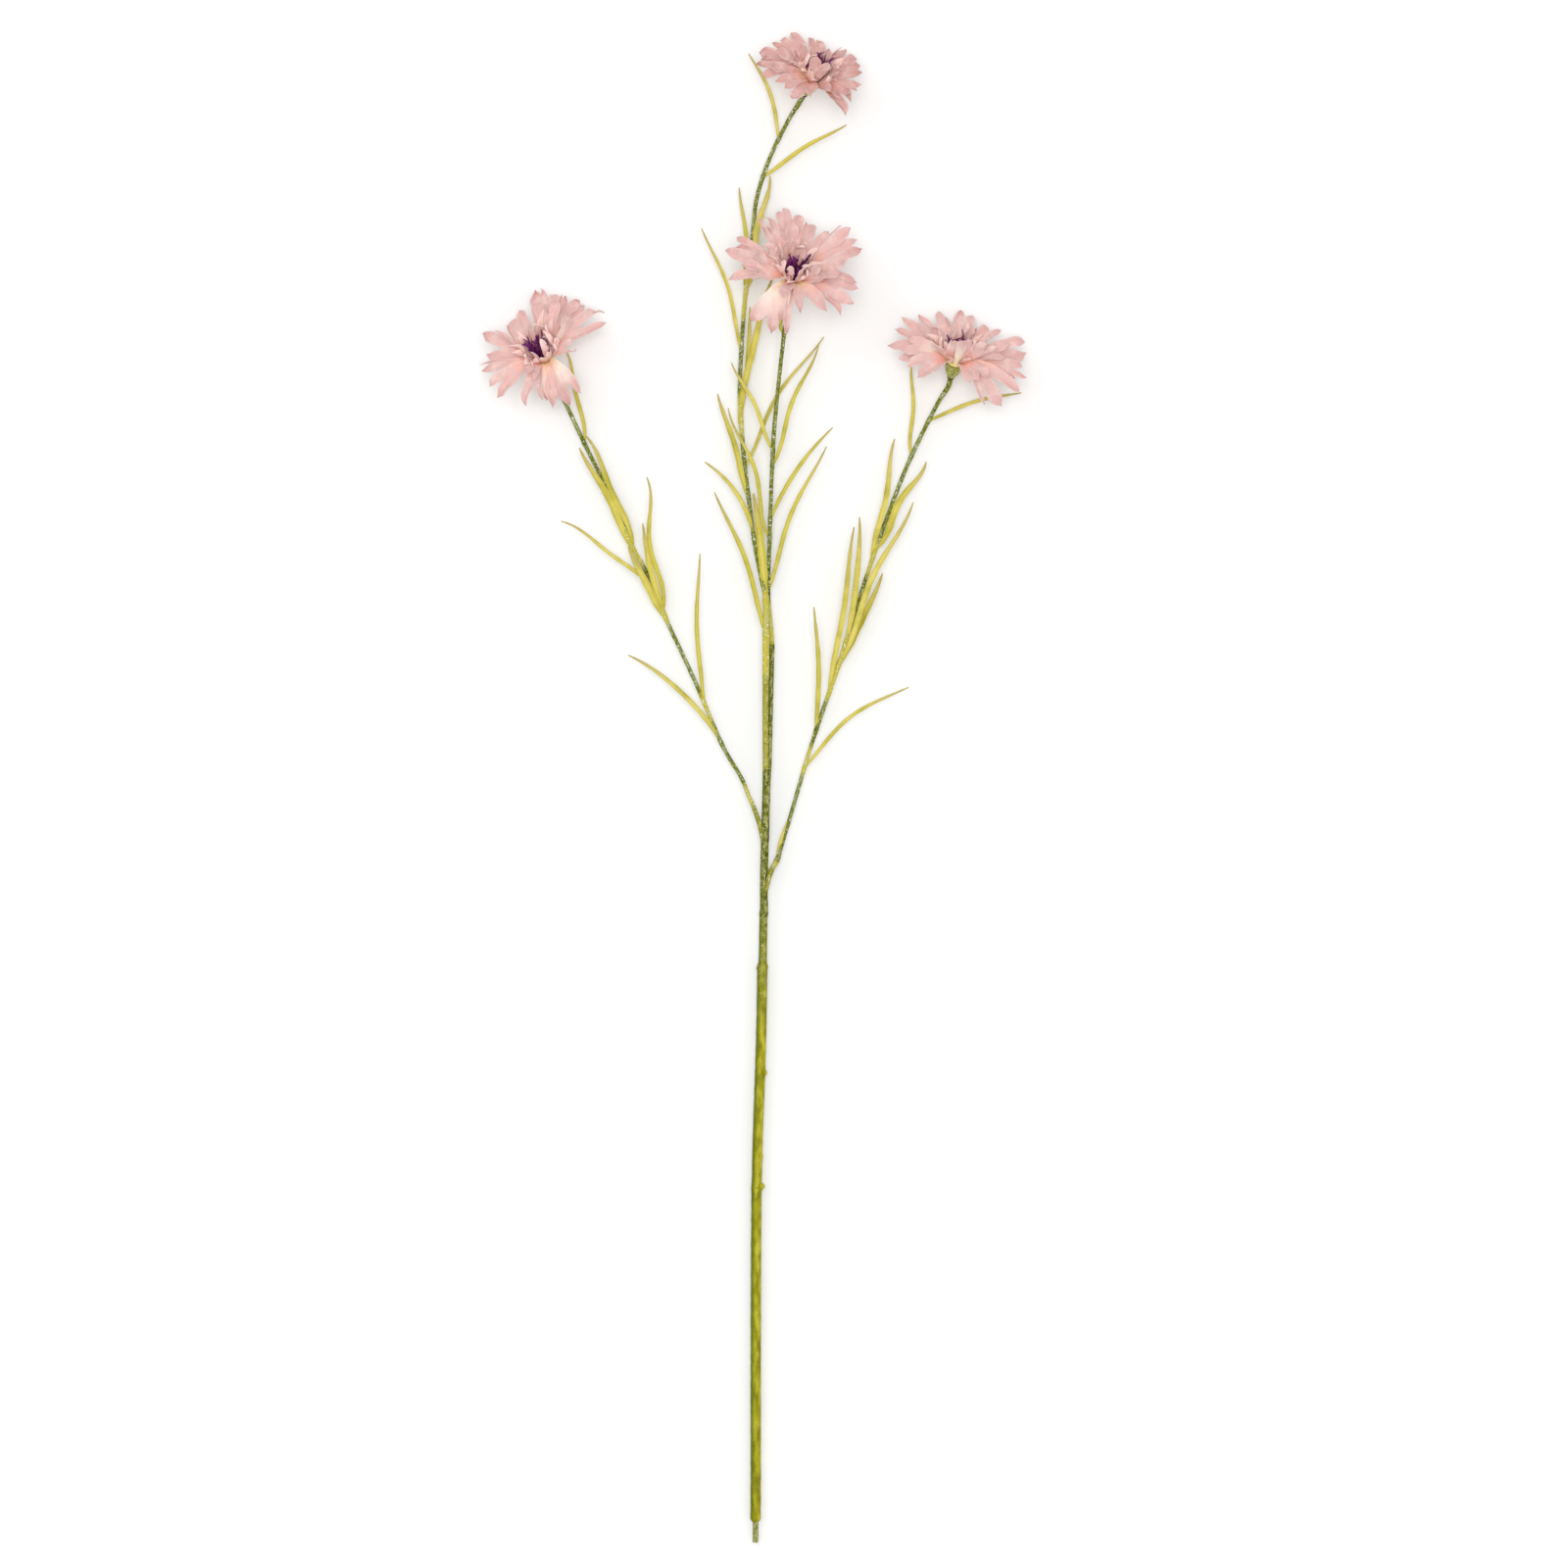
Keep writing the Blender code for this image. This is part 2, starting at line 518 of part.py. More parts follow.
def floret(ring, axis, notch, tips):
    """A fabric floret: a narrow claw that opens into a cupped fan, parted into pointed lobes."""
    reach = sum((tip for tip, _ in tips), Vector()) / len(tips)
    size = reach.length
    radial = (reach - axis * reach.dot(axis)).normalized()
    side = axis.cross(radial)
    tips = sorted(tips, key=lambda row: math.atan2(row[0].dot(side), row[0].dot(radial)))
    last = len(tips) - 1
    start = ring + radial * 2.3 - axis * 1.4
    middle = ring + radial * (3.2 + 0.22 * size) + axis * (0.22 * size)
    turning = math.radians(SIDE_TURN * reach.x / size) * (0.4 if last else 1.0)

    def line(lobe, t):
        """Place, sideways way and upward way of a lobe's middle, a share t along it."""
        own = tips[lobe][0] - reach
        root = start + side * (0.8 * (2 * lobe - last) / (last + 1))
        bend = middle + own * 0.42
        tip = ring + tips[lobe][0]
        place = root * (1 - t) ** 2 + bend * (2 * t * (1 - t)) + tip * t ** 2
        along = ((bend - root) * (1 - t) + (tip - bend) * t).normalized()
        across = side
        if last:
            gap = tips[min(lobe + 1, last)][0] - tips[max(lobe - 1, 0)][0]
            gap -= along * gap.dot(along)
            across = side * (1 - 0.6 * t) + gap.normalized() * (0.6 * t)
        face = along.cross(Matrix.Rotation(turning * t, 3, along) @ across).normalized()
        return place, face.cross(along), face

    def rim(lobe, way, t, half):
        """A point at a lobe's edge, kept clear of the next lobe and raised by the fan's cup."""
        place, across, face = line(lobe, t)
        if 0 <= lobe + way <= last:
            half = min(half, 0.46 * (line(lobe + way, t)[0] - place).length)
        spread = (2 * lobe + 1 + way) / (last + 1) - 1
        full = (line(last, t)[0] - line(0, t)[0]).length / 2 + tips[lobe][1] / 2
        rise = full * (0.42 * (1 - t) + 0.12 * t) * spread ** 2
        return place + across * (way * half) + face * rise

    vertices = [start - side * 0.8, start + side * 0.8]
    faces = []
    if reach.dot(axis) < -0.1 * size:
        vertices += [rim(0, -1, 0.34, 0.3 * tips[0][1]), rim(last, 1, 0.34, 0.3 * tips[last][1])]
        faces += [(0, 3, 2), (0, 1, 3)]
    row = len(vertices)
    vertices.append(rim(0, -1, notch, 0.43 * tips[0][1]))
    vertices += [(line(lobe, notch)[0] + line(lobe + 1, notch)[0]) / 2 for lobe in range(last)]
    vertices.append(rim(last, 1, notch, 0.43 * tips[last][1]))
    faces += fan_strip(row - 2, 2, row, last + 2)
    for lobe, (_, width) in enumerate(tips):
        left, right = row + lobe, row + lobe + 1
        for share, part in BROAD_LOBE if width > 4.5 else SLIM_LOBE:
            t = notch + (1 - notch) * share
            half = max(width * part, 0.4)
            low = len(vertices)
            vertices += [rim(lobe, -1, t, half), rim(lobe, 1, t, half)]
            faces += [(left, right, low + 1), (left, low + 1, low)]
            left, right = low, low + 1
        faces.append((left, right, len(vertices)))
        vertices.append(line(lobe, 1.0)[0])
    return slab(vertices, faces, FLORET_THICKNESS)


def fan_strip(first, first_count, second, second_count):
    """Triangles between a short row of points and a longer one."""
    faces = []
    here = there = 0
    while here < first_count - 1 or there < second_count - 1:
        ahead_here = (here + 1) / (first_count - 1)
        ahead_there = (there + 1) / (second_count - 1)
        if there == second_count - 1 or (here < first_count - 1 and ahead_here < ahead_there):
            faces.append((first + here, first + here + 1, second + there))
            here += 1
        else:
            faces.append((first + here, second + there + 1, second + there))
            there += 1
    return faces


def round_solid(place, axis, profile, sides, relief=0.0):
    """A turned solid from (height, radius) rows, with overlapping scales when relief is set."""
    across = axis.orthogonal().normalized()
    beside = axis.cross(across)
    vertices = []
    for row, (height, radius) in enumerate(profile):
        for side in range(sides):
            angle = 2 * math.pi * side / sides
            swell = relief if (row + side) % 2 and 0 < row < len(profile) - 2 else 0.0
            reach = radius + swell
            vertices.append(place + axis * height + (across * math.cos(angle) + beside * math.sin(angle)) * reach)
    faces = [tuple(reversed(range(sides)))]
    for row in range(len(profile) - 1):
        for side in range(sides):
            here = row * sides + side
            beside_it = row * sides + (side + 1) % sides
            faces.append((here, beside_it, beside_it + sides))
            faces.append((here, beside_it + sides, here + sides))
    faces.append(tuple(range(len(vertices) - sides, len(vertices))))
    return vertices, outward(vertices, faces)


def build_wire(material):
    """The coated end of the wire core, seated in the main stem."""
    foot = Vector(MAIN_ROUTE[0][:3])
    top = foot + Vector((0.0, WIRE_SEATED, 0.0))
    low = foot - Vector((0.0, WIRE_BARE, 0.0))
    wire = tube([(low, WIRE_RADIUS), (top, WIRE_RADIUS)], STEM_SIDES)
    return mesh_object("core_wire", wire, material, bpy.context.scene.collection)


def build_main_stem(material):
    """The main stem with its joints, buds and four short arms, bored for the wire."""
    solids = [tube(smooth_route(MAIN_ROUTE, 40.0), STEM_SIDES)]
    solids += [tube(smooth_route(route, 9.0), BRANCH_SIDES) for route in ARM_ROUTES]
    solids += [bud(*row) for row in BUDS]
    stem = fuse("main_stem", solids, material)
    foot = Vector(MAIN_ROUTE[0][:3])
    deep = foot + Vector((0.0, WIRE_SEATED + GAP, 0.0))
    bore = tube([(foot - Vector((0.0, 2.0, 0.0)), WIRE_RADIUS + GAP), (deep, WIRE_RADIUS + GAP)], STEM_SIDES)
    return cut(stem, bore, material)


def cut(body, solid, material):
    """Take one solid away from a body."""
    cutter = mesh_object("bore_cutter", solid, material, bpy.context.scene.collection)
    take = body.modifiers.new("bore", "BOOLEAN")
    take.operation = "DIFFERENCE"
    take.object = cutter
    take.solver = "EXACT"
    graph = bpy.context.evaluated_depsgraph_get()
    body.data = bpy.data.meshes.new_from_object(body.evaluated_get(graph))
    body.modifiers.clear()
    bpy.data.objects.remove(cutter, do_unlink=True)
    return body


def build_branch(name, material):
    """One leafy branch."""
    stations = smooth_route(branch_route(name), 14.0)
    travelled = plan_distance(stations)
    solids = [tube(stations, BRANCH_SIDES)]
    solids += [leaf(stations, travelled, row) for row in LEAVES[name]]
    return fuse("branch_" + name, solids, material)


def build_cup(name, material):
    """The scaly green cup under a bloom."""
    ring, axis = bloom_frame(BLOOMS[name])
    profile = (
        (CUP_BOTTOM, 1.3), (-8.3, 1.35), (-7.5, 1.75), (-6.6, 2.3), (-5.6, 2.75),
        (-4.6, 3.0), (-3.6, 3.1), (CUP_TOP, 3.15),
    )
    cup = round_solid(ring, axis, profile, 12, 0.22)
    return mesh_object("cup_" + name, cup, material, bpy.context.scene.collection)


def build_florets(name, material):
    """All the pink fabric of a bloom: large florets, the curled inner ring and the core."""
    bloom = BLOOMS[name]
    ring, axis = bloom_frame(bloom)
    chance = random.Random(f"{SEED} {name}")
    core = ((CORE_BOTTOM, 2.4), (-1.4, CORE_RADIUS), (-0.5, CORE_RADIUS), (CORE_TOP, 2.6))
    solids = [round_solid(ring, axis, core, 12)]
    for up, notch, tips in bloom["florets"]:
        lobes = [(Vector((across, along, up)), width) for across, along, width in tips]
        solids.append(floret(ring, axis, notch, lobes))
    level = (Vector((1, 0, 0)) - axis * axis.x).normalized()
    count = 6
    for index in range(count):
        angle = 2 * math.pi * (index + chance.uniform(-0.25, 0.25)) / count
        way = Matrix.Rotation(angle, 3, axis) @ level
        reach = way * chance.uniform(8.2, 9.8) + axis * chance.uniform(5.5, 8.0)
        apart = axis.cross(way) * 1.8
        solids.append(floret(ring, axis, 0.55, [(reach - apart, 3.2), (reach + apart, 3.2)]))
    return fuse("florets_" + name, solids, material)


def build_tuft(name, material):
    """The purple stamens on their small disc."""
    ring, axis = bloom_frame(BLOOMS[name])
    chance = random.Random(f"{SEED} tuft {name}")
    disc = ((CORE_TOP + GAP, TUFT_DISC_RADIUS), (0.9, TUFT_DISC_RADIUS), (1.3, 1.3))
    solids = [round_solid(ring, axis, disc, 8)]
    level = axis.orthogonal().normalized()
    for index in range(10):
        inner = index >= 7
        share = index / 7 if not inner else (index - 7) / 3
        way = Matrix.Rotation(2 * math.pi * (share + chance.uniform(-0.03, 0.03)), 3, axis) @ level
        root = 0.6 if inner else 1.4
        tip = chance.uniform(1.4, 2.8) if inner else chance.uniform(3.4, 4.8)
        height = chance.uniform(9.4, 12.0)
        places = (
            ring + way * root + axis * 0.7,
            ring + way * (root + (tip - root) * 0.3) + axis * (height * 0.45),
            ring + way * tip + axis * height,
        )
        stations = [(places[0], FILAMENT_RADIUS), (places[1], FILAMENT_RADIUS), (places[2], 0.42)]
        solids.append(tube(stations, 4))
    return fuse("stamens_" + name, solids, material)


def settle(items):
    """Put the spray's footprint middle over the origin and its lowest point on the floor."""
    corners = [vertex.co for item in items for vertex in item.data.vertices]
    low = Vector(min(corner[axis] for corner in corners) for axis in range(3))
    high = Vector(max(corner[axis] for corner in corners) for axis in range(3))
    shift = Vector((-(low.x + high.x) / 2, -(low.y + high.y) / 2, -low.z))
    for item in items:
        item.data.transform(Matrix.Translation(shift))
        item.data.update()


def main():
    """Build every piece of the spray."""
    clear_scene()
    wire = plain_material("wire_coating", (0.30, 0.34, 0.10), 0.5)
    stem = plain_material("stem_plastic", (0.26, 0.29, 0.02), 0.55)
    leafy = plain_material("leaf_plastic", (0.50, 0.46, 0.06), 0.55)
    cup = plain_material("cup_plastic", (0.24, 0.27, 0.06), 0.6)
    fabric = plain_material("petal_fabric", (0.78, 0.50, 0.46), 0.85)
    purple = plain_material("stamen_fabric", (0.07, 0.01, 0.13), 0.8)
    items = [build_wire(wire), build_main_stem(stem)]
    for name in BLOOMS:
        items.append(build_branch(name, leafy))
        items.append(build_cup(name, cup))
        items.append(build_florets(name, fabric))
        items.append(build_tuft(name, purple))
    settle(items)


main()
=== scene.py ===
"""Looks of the artificial cornflower spray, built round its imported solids.

Places and lengths are millimetres in the part's own design, and home() carries them into the frame.
The routes, leaf rows and floret rows below are those that the part is built from, but for three leaves,
two of the top branch and the short one of the right, which lie closer beside their twigs here.
"""
import math
import random

import bpy
from mathutils import Matrix, Vector, noise


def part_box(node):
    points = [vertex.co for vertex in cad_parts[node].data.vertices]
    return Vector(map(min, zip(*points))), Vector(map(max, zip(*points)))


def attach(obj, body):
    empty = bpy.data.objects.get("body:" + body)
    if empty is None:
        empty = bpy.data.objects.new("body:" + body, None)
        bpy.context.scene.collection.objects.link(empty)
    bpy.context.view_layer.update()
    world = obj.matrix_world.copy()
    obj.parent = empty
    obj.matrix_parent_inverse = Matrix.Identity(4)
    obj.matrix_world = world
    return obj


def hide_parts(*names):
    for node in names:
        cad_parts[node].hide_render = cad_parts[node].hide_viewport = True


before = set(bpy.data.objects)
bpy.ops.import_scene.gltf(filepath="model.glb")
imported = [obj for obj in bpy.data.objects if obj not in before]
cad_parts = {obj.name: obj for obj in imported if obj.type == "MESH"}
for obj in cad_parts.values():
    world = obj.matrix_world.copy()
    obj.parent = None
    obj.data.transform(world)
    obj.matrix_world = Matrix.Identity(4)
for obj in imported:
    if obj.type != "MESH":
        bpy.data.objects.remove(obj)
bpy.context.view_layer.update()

MM = 0.001
BODY = "root"

# Sizes that the part is built from, and how far the coated end is drawn into the stem.
GAP = 0.3
WIRE_RADIUS = 1.15
WIRE_SIDES = 10
WIRE_BARE = 8.4
COATING_SEATED = 6.0
BRANCH_RADIUS = 0.85
CORE_RADIUS = 3.0
CORE_BOTTOM = -2.2
CUP_TOP = CORE_BOTTOM - GAP
CUP_BOTTOM = -9.0
CUP_KNEE = 4.0
SIDE_TURN = 30.0
ROUTE_STEP = 14.0
SEED = 9338

# Sheets: the thickness of each, and the rows and columns it is laid out on.
FABRIC = 0.2
LEAF_SHEET = 0.34
SCALE_SHEET = 0.16
FLORET_ROWS = 26
LOBE_COLUMNS = 8
CURL_ROWS = 16
CURL_COLUMNS = 6
LEAF_ROWS = 36
LEAF_COLUMNS = 6
SCALE_ROWS = 7
SCALE_COLUMNS = 4

# Round pieces: sides and rows, and the step along a stem.
STEM_SIDES = 22
ARM_SIDES = 16
BUD_SIDES = 14
TWIG_SIDES = 16
COATING_SIDES = 18
TURNED_SIDES = 28
CUSHION_SIDES = 20
FOOT_SIDES = 24
CUP_ROWS = 19
BUD_ROWS = 8
COATING_ROWS = 13
STRIP_SIDES = 8
STEM_STEP = 1.6

# Florets: the narrowest a lobe gets as a share of its own width, the width under which a lobe is a wisp,
# and half the claw's width.
BLUNT = 0.15
WISP = 1.5
CLAW = 0.8
INNER_FLORETS = 6
CURLS = 12

# Stamens and cup scales.
STAMENS = 32
CLUMPS = 6
STRIP_STEPS = 10
STRIP_SHEET = 0.32
SCALE_TIERS = 5
SCALE_FOOT = -8.3
TIER_RISE = 1.05

# Turned pieces round a bloom's axis: height from the ring and radius.
COLLAR = ((CORE_BOTTOM, 2.4), (-1.8, 2.9), (-1.4, CORE_RADIUS), (-0.5, CORE_RADIUS), (-0.1, 2.6), (0.0, 2.2))
CUSHION = ((0.2, 2.2), (0.5, 2.6), (0.9, 2.4), (1.3, 1.7), (1.5, 0.6))
CUP_FOOT = ((CUP_BOTTOM - 0.02, 1.15), (-8.8, 1.5), (-8.5, 1.52), (-8.2, 1.3))
CUP_BODY = (
    (CUP_BOTTOM, 1.3), (-8.3, 1.35), (-7.5, 1.75), (-6.6, 2.3), (-5.6, 2.75),
    (-4.6, 3.0), (-3.6, 3.1), (CUP_TOP, 3.15),
)

# A leaf's width: share of the way along it and part of its full width there.
LEAF_SHAPE = (
    (0.0, 0.62), (0.1, 0.74), (0.25, 0.97), (0.42, 1.0), (0.6, 0.93), (0.8, 0.66), (0.93, 0.36), (1.0, 0.1),
)

# Stage: the floor in metres, its depth under the table plane, and the camera. VIEW_WIDTH is the metres
# seen across, and VIEW_MIDDLE the design point in the middle of the view.
FLOOR_HALF = 6.0
FLOOR_DROP = 0.0004
VIEW_WIDTH = 0.640
VIEW_MIDDLE = (12.4, 2.0, 17.0)
LENS = 200.0
SENSOR = 36.0

# Main stem from the cut end to the upper fork: across, along, height, radius.
MAIN_ROUTE = (
    (0.7, -300.4, 2.03, 2.1),
    (0.8, -280.0, 2.03, 2.1),
    (0.8, -238.0, 2.4, 2.1),
    (0.9, -198.0, 3.0, 2.1),
    (1.1, -166.5, 3.5, 2.1),
    (1.1, -163.5, 3.6, 2.4),
    (1.2, -161.0, 3.7, 2.05),
    (1.8, -138.0, 4.2, 2.1),
    (2.6, -115.6, 4.7, 2.15),
    (3.2, -94.0, 5.2, 2.1),
    (3.5, -74.5, 5.8, 2.15),
    (3.6, -72.6, 5.9, 2.3),
    (3.7, -71.0, 5.9, 1.75),
    (4.0, -53.0, 6.4, 1.65),
    (4.1, -51.0, 6.5, 1.85),
    (4.2, -49.0, 6.5, 1.65),
    (4.2, -36.0, 6.9, 1.65),
    (4.7, -18.0, 7.6, 1.65),
    (5.4, 8.0, 8.3, 1.7),
)

# Short arms of the main stem that the branches plug against.
ARM_ROUTES = (
    ((4.5, -24.0, 7.5, 1.2), (2.9, -16.0, 7.8, 1.1), (1.1, -10.6, 8.0, 0.95), (-0.2, -7.0, 8.1, 0.9)),
    ((4.2, -43.5, 6.8, 1.3), (5.8, -37.0, 7.0, 1.25), (7.6, -32.6, 7.2, 1.1)),
    ((5.0, 3.0, 8.3, 1.3), (4.9, 14.0, 8.8, 1.2), (4.8, 30.0, 9.4, 1.2), (4.9, 45.0, 9.6, 1.25)),
    ((5.8, 3.0, 8.2, 1.2), (6.4, 14.0, 7.6, 1.1), (6.9, 34.0, 7.0, 1.05), (7.5, 59.0, 6.7, 1.1)),
)

# How yellow each arm is, from 0 to 1.
ARM_TONES = (0.3, 0.35, 0.45, 0.0)

# Leaf buds and scars on the main stem: across, along, height, width, length.
BUDS = (
    (3.1, -162.8, 3.9, 1.5, 1.6),
    (2.6, -150.5, 4.4, 1.2, 3.2),
    (4.6, -116.2, 4.9, 0.9, 1.4),
    (2.0, -73.4, 5.9, 1.0, 1.3),
)

# Branch centre lines: across, along, height, radius.
BRANCH_ROUTES = {
    "left": (
        (-0.35, -6.7, 8.1, 0.9), (-2.2, -2.6, 8.1, 0.86), (-5.2, 4.8, 8.0, 0.85),
        (-13.1, 18.4, 7.6, 0.85), (-24.1, 44.2, 7.0, 0.85), (-35.2, 68.0, 6.4, 0.85),
        (-43.7, 88.2, 6.0, 0.95), (-50.0, 99.6, 5.8, 0.85), (-56.7, 116.1, 5.6, 0.85),
        (-68.3, 139.4, 5.4, 0.85), (-76.4, 156.5, 6.4, 0.85),
    ),
    "right": (
        (7.8, -32.2, 7.2, 1.1), (9.65, -28.9, 7.3, 1.1), (11.4, -23.0, 7.4, 0.95),
        (15.1, -10.9, 7.4, 0.85), (23.8, 18.7, 7.0, 0.85), (34.4, 49.6, 6.6, 0.95),
        (44.2, 80.8, 6.2, 0.85), (53.0, 106.8, 6.0, 0.85), (63.0, 132.7, 6.0, 0.85),
        (74.1, 155.6, 8.0, 0.85),
    ),
    "top": (
        (4.9, 45.3, 9.6, 1.35), (4.95, 47.5, 9.6, 1.45), (5.0, 62.0, 9.4, 1.42),
        (5.0, 65.0, 9.3, 1.28), (4.9, 78.0, 8.9, 1.32), (4.4, 80.5, 8.8, 1.0),
        (0.8, 98.0, 7.6, 0.85), (-1.4, 114.0, 6.8, 0.85), (-3.4, 130.0, 6.0, 0.85),
        (-4.9, 146.0, 5.2, 0.95), (-5.8, 162.0, 4.8, 0.85), (-4.7, 186.0, 4.4, 0.85),
        (-3.4, 202.0, 4.4, 0.85), (-0.6, 226.0, 4.8, 0.85), (1.3, 242.0, 5.4, 0.85),
        (6.5, 258.0, 7.0, 0.85), (14.2, 273.5, 9.2, 0.85),
    ),
    "centre": (
        (7.5, 59.3, 6.7, 1.05), (7.1, 66.0, 6.4, 0.95), (6.2, 76.0, 6.0, 0.85),
        (5.9, 82.0, 6.2, 0.85), (6.2, 92.0, 7.0, 0.85), (6.8, 112.0, 8.8, 0.85),
        (7.5, 130.0, 10.4, 0.85), (8.3, 146.0, 12.0, 0.92), (9.8, 162.0, 13.4, 0.85),
        (12.2, 184.0, 15.2, 0.85),
    ),
}

# Leaves: distance along the branch, turn out (left is positive), curl, wave,
# length, width, lift, change of lift.
LEAVES = {
    "left": (
        (164, -34, 42, 13, 40, 1.6, 0, 0),
        (117, -27, 43, 13, 50, 2.4, 6, -8),
        (116, 5, -12, -8, 47, 2.8, 4, 4),
        (95, 5, 50, 13, 50, 1.6, 14, -18),
        (85, 16, -23, -6, 33, 2.8, 10, -6),
        (88, -34, 37, 21, 56, 2.0, 12, -8),
        (86, -5, -9, 2, 39, 2.4, 8, 6),
        (47, -19, -5, 4, 61, 1.8, 10, -12),
        (29, 5, 38, 2, 53, 2.0, 8, -14),
    ),
    "right": (
        (178, 39, -30, -14, 40, 1.6, 0, 0),
        (194, -40, -13, 4, 40, 1.6, -5, 4),
        (133, 17, -17, -10, 50, 2.4, 6, -4),
        (138, -30, 39, 21, 41, 2.8, 8, -6),
        (88, -15, 16, 12, 73, 2.4, 9, -10),
        (88, -17, 18, 4, 41, 2.8, 2, 2),
        (76, 14, -7, -5, 68, 2.4, 7, -6),
        (97, 2, 19, 2, 52, 2.4, 12, -10),
        (59, 17, 6, -3, 51, 2.0, 10, -4),
        (43, -24, -24, 7, 55, 1.6, 6, -12),
        (3, 20, -12, 0, 17, 1.3, 8, -6),
    ),
    "top": (
        (223, 33, 26, -4, 38, 1.6, 0, -2),
        (207, -40, -1, 6, 40, 1.8, 3, 6),
        (161, -23, 36, 17, 47, 2.8, 3, 0),
        (159, 12, -4, -8, 43, 1.8, 2, 0),
        (106, -1, -31, -7, 62, 2.6, 4, -6),
        (108, -10, 4, -2, 45, 2.0, 1, 0),
        (135, 18, 7, -7, 53, 1.6, 6, 0),
        (75, 15, -11, -7, 44, 2.4, 4, 0),
        (58, 2, 48, 0, 38, 1.8, 6, -4),
        (33, -8, 7, 0, 43, 3.2, 3, -8),
        (87, -35, -3, 10, 63, 1.6, -1, 2),
        (18, 18, 4, -6, 62, 2.0, 0, 2),
    ),
    "centre": (
        (79, 34, -12, -11, 40, 1.6, 4, -4),
        (43, 29, -20, -17, 57, 1.6, 10, -4),
        (73, -27, 18, 13, 53, 1.8, 6, -4),
        (51, -21, -24, 0, 46, 1.8, 10, -6),
        (22, -23, -4, 7, 64, 1.8, 8, -6),
        (127, 55, -120, 0, 9, 1.4, 8, -20),
    ),
}

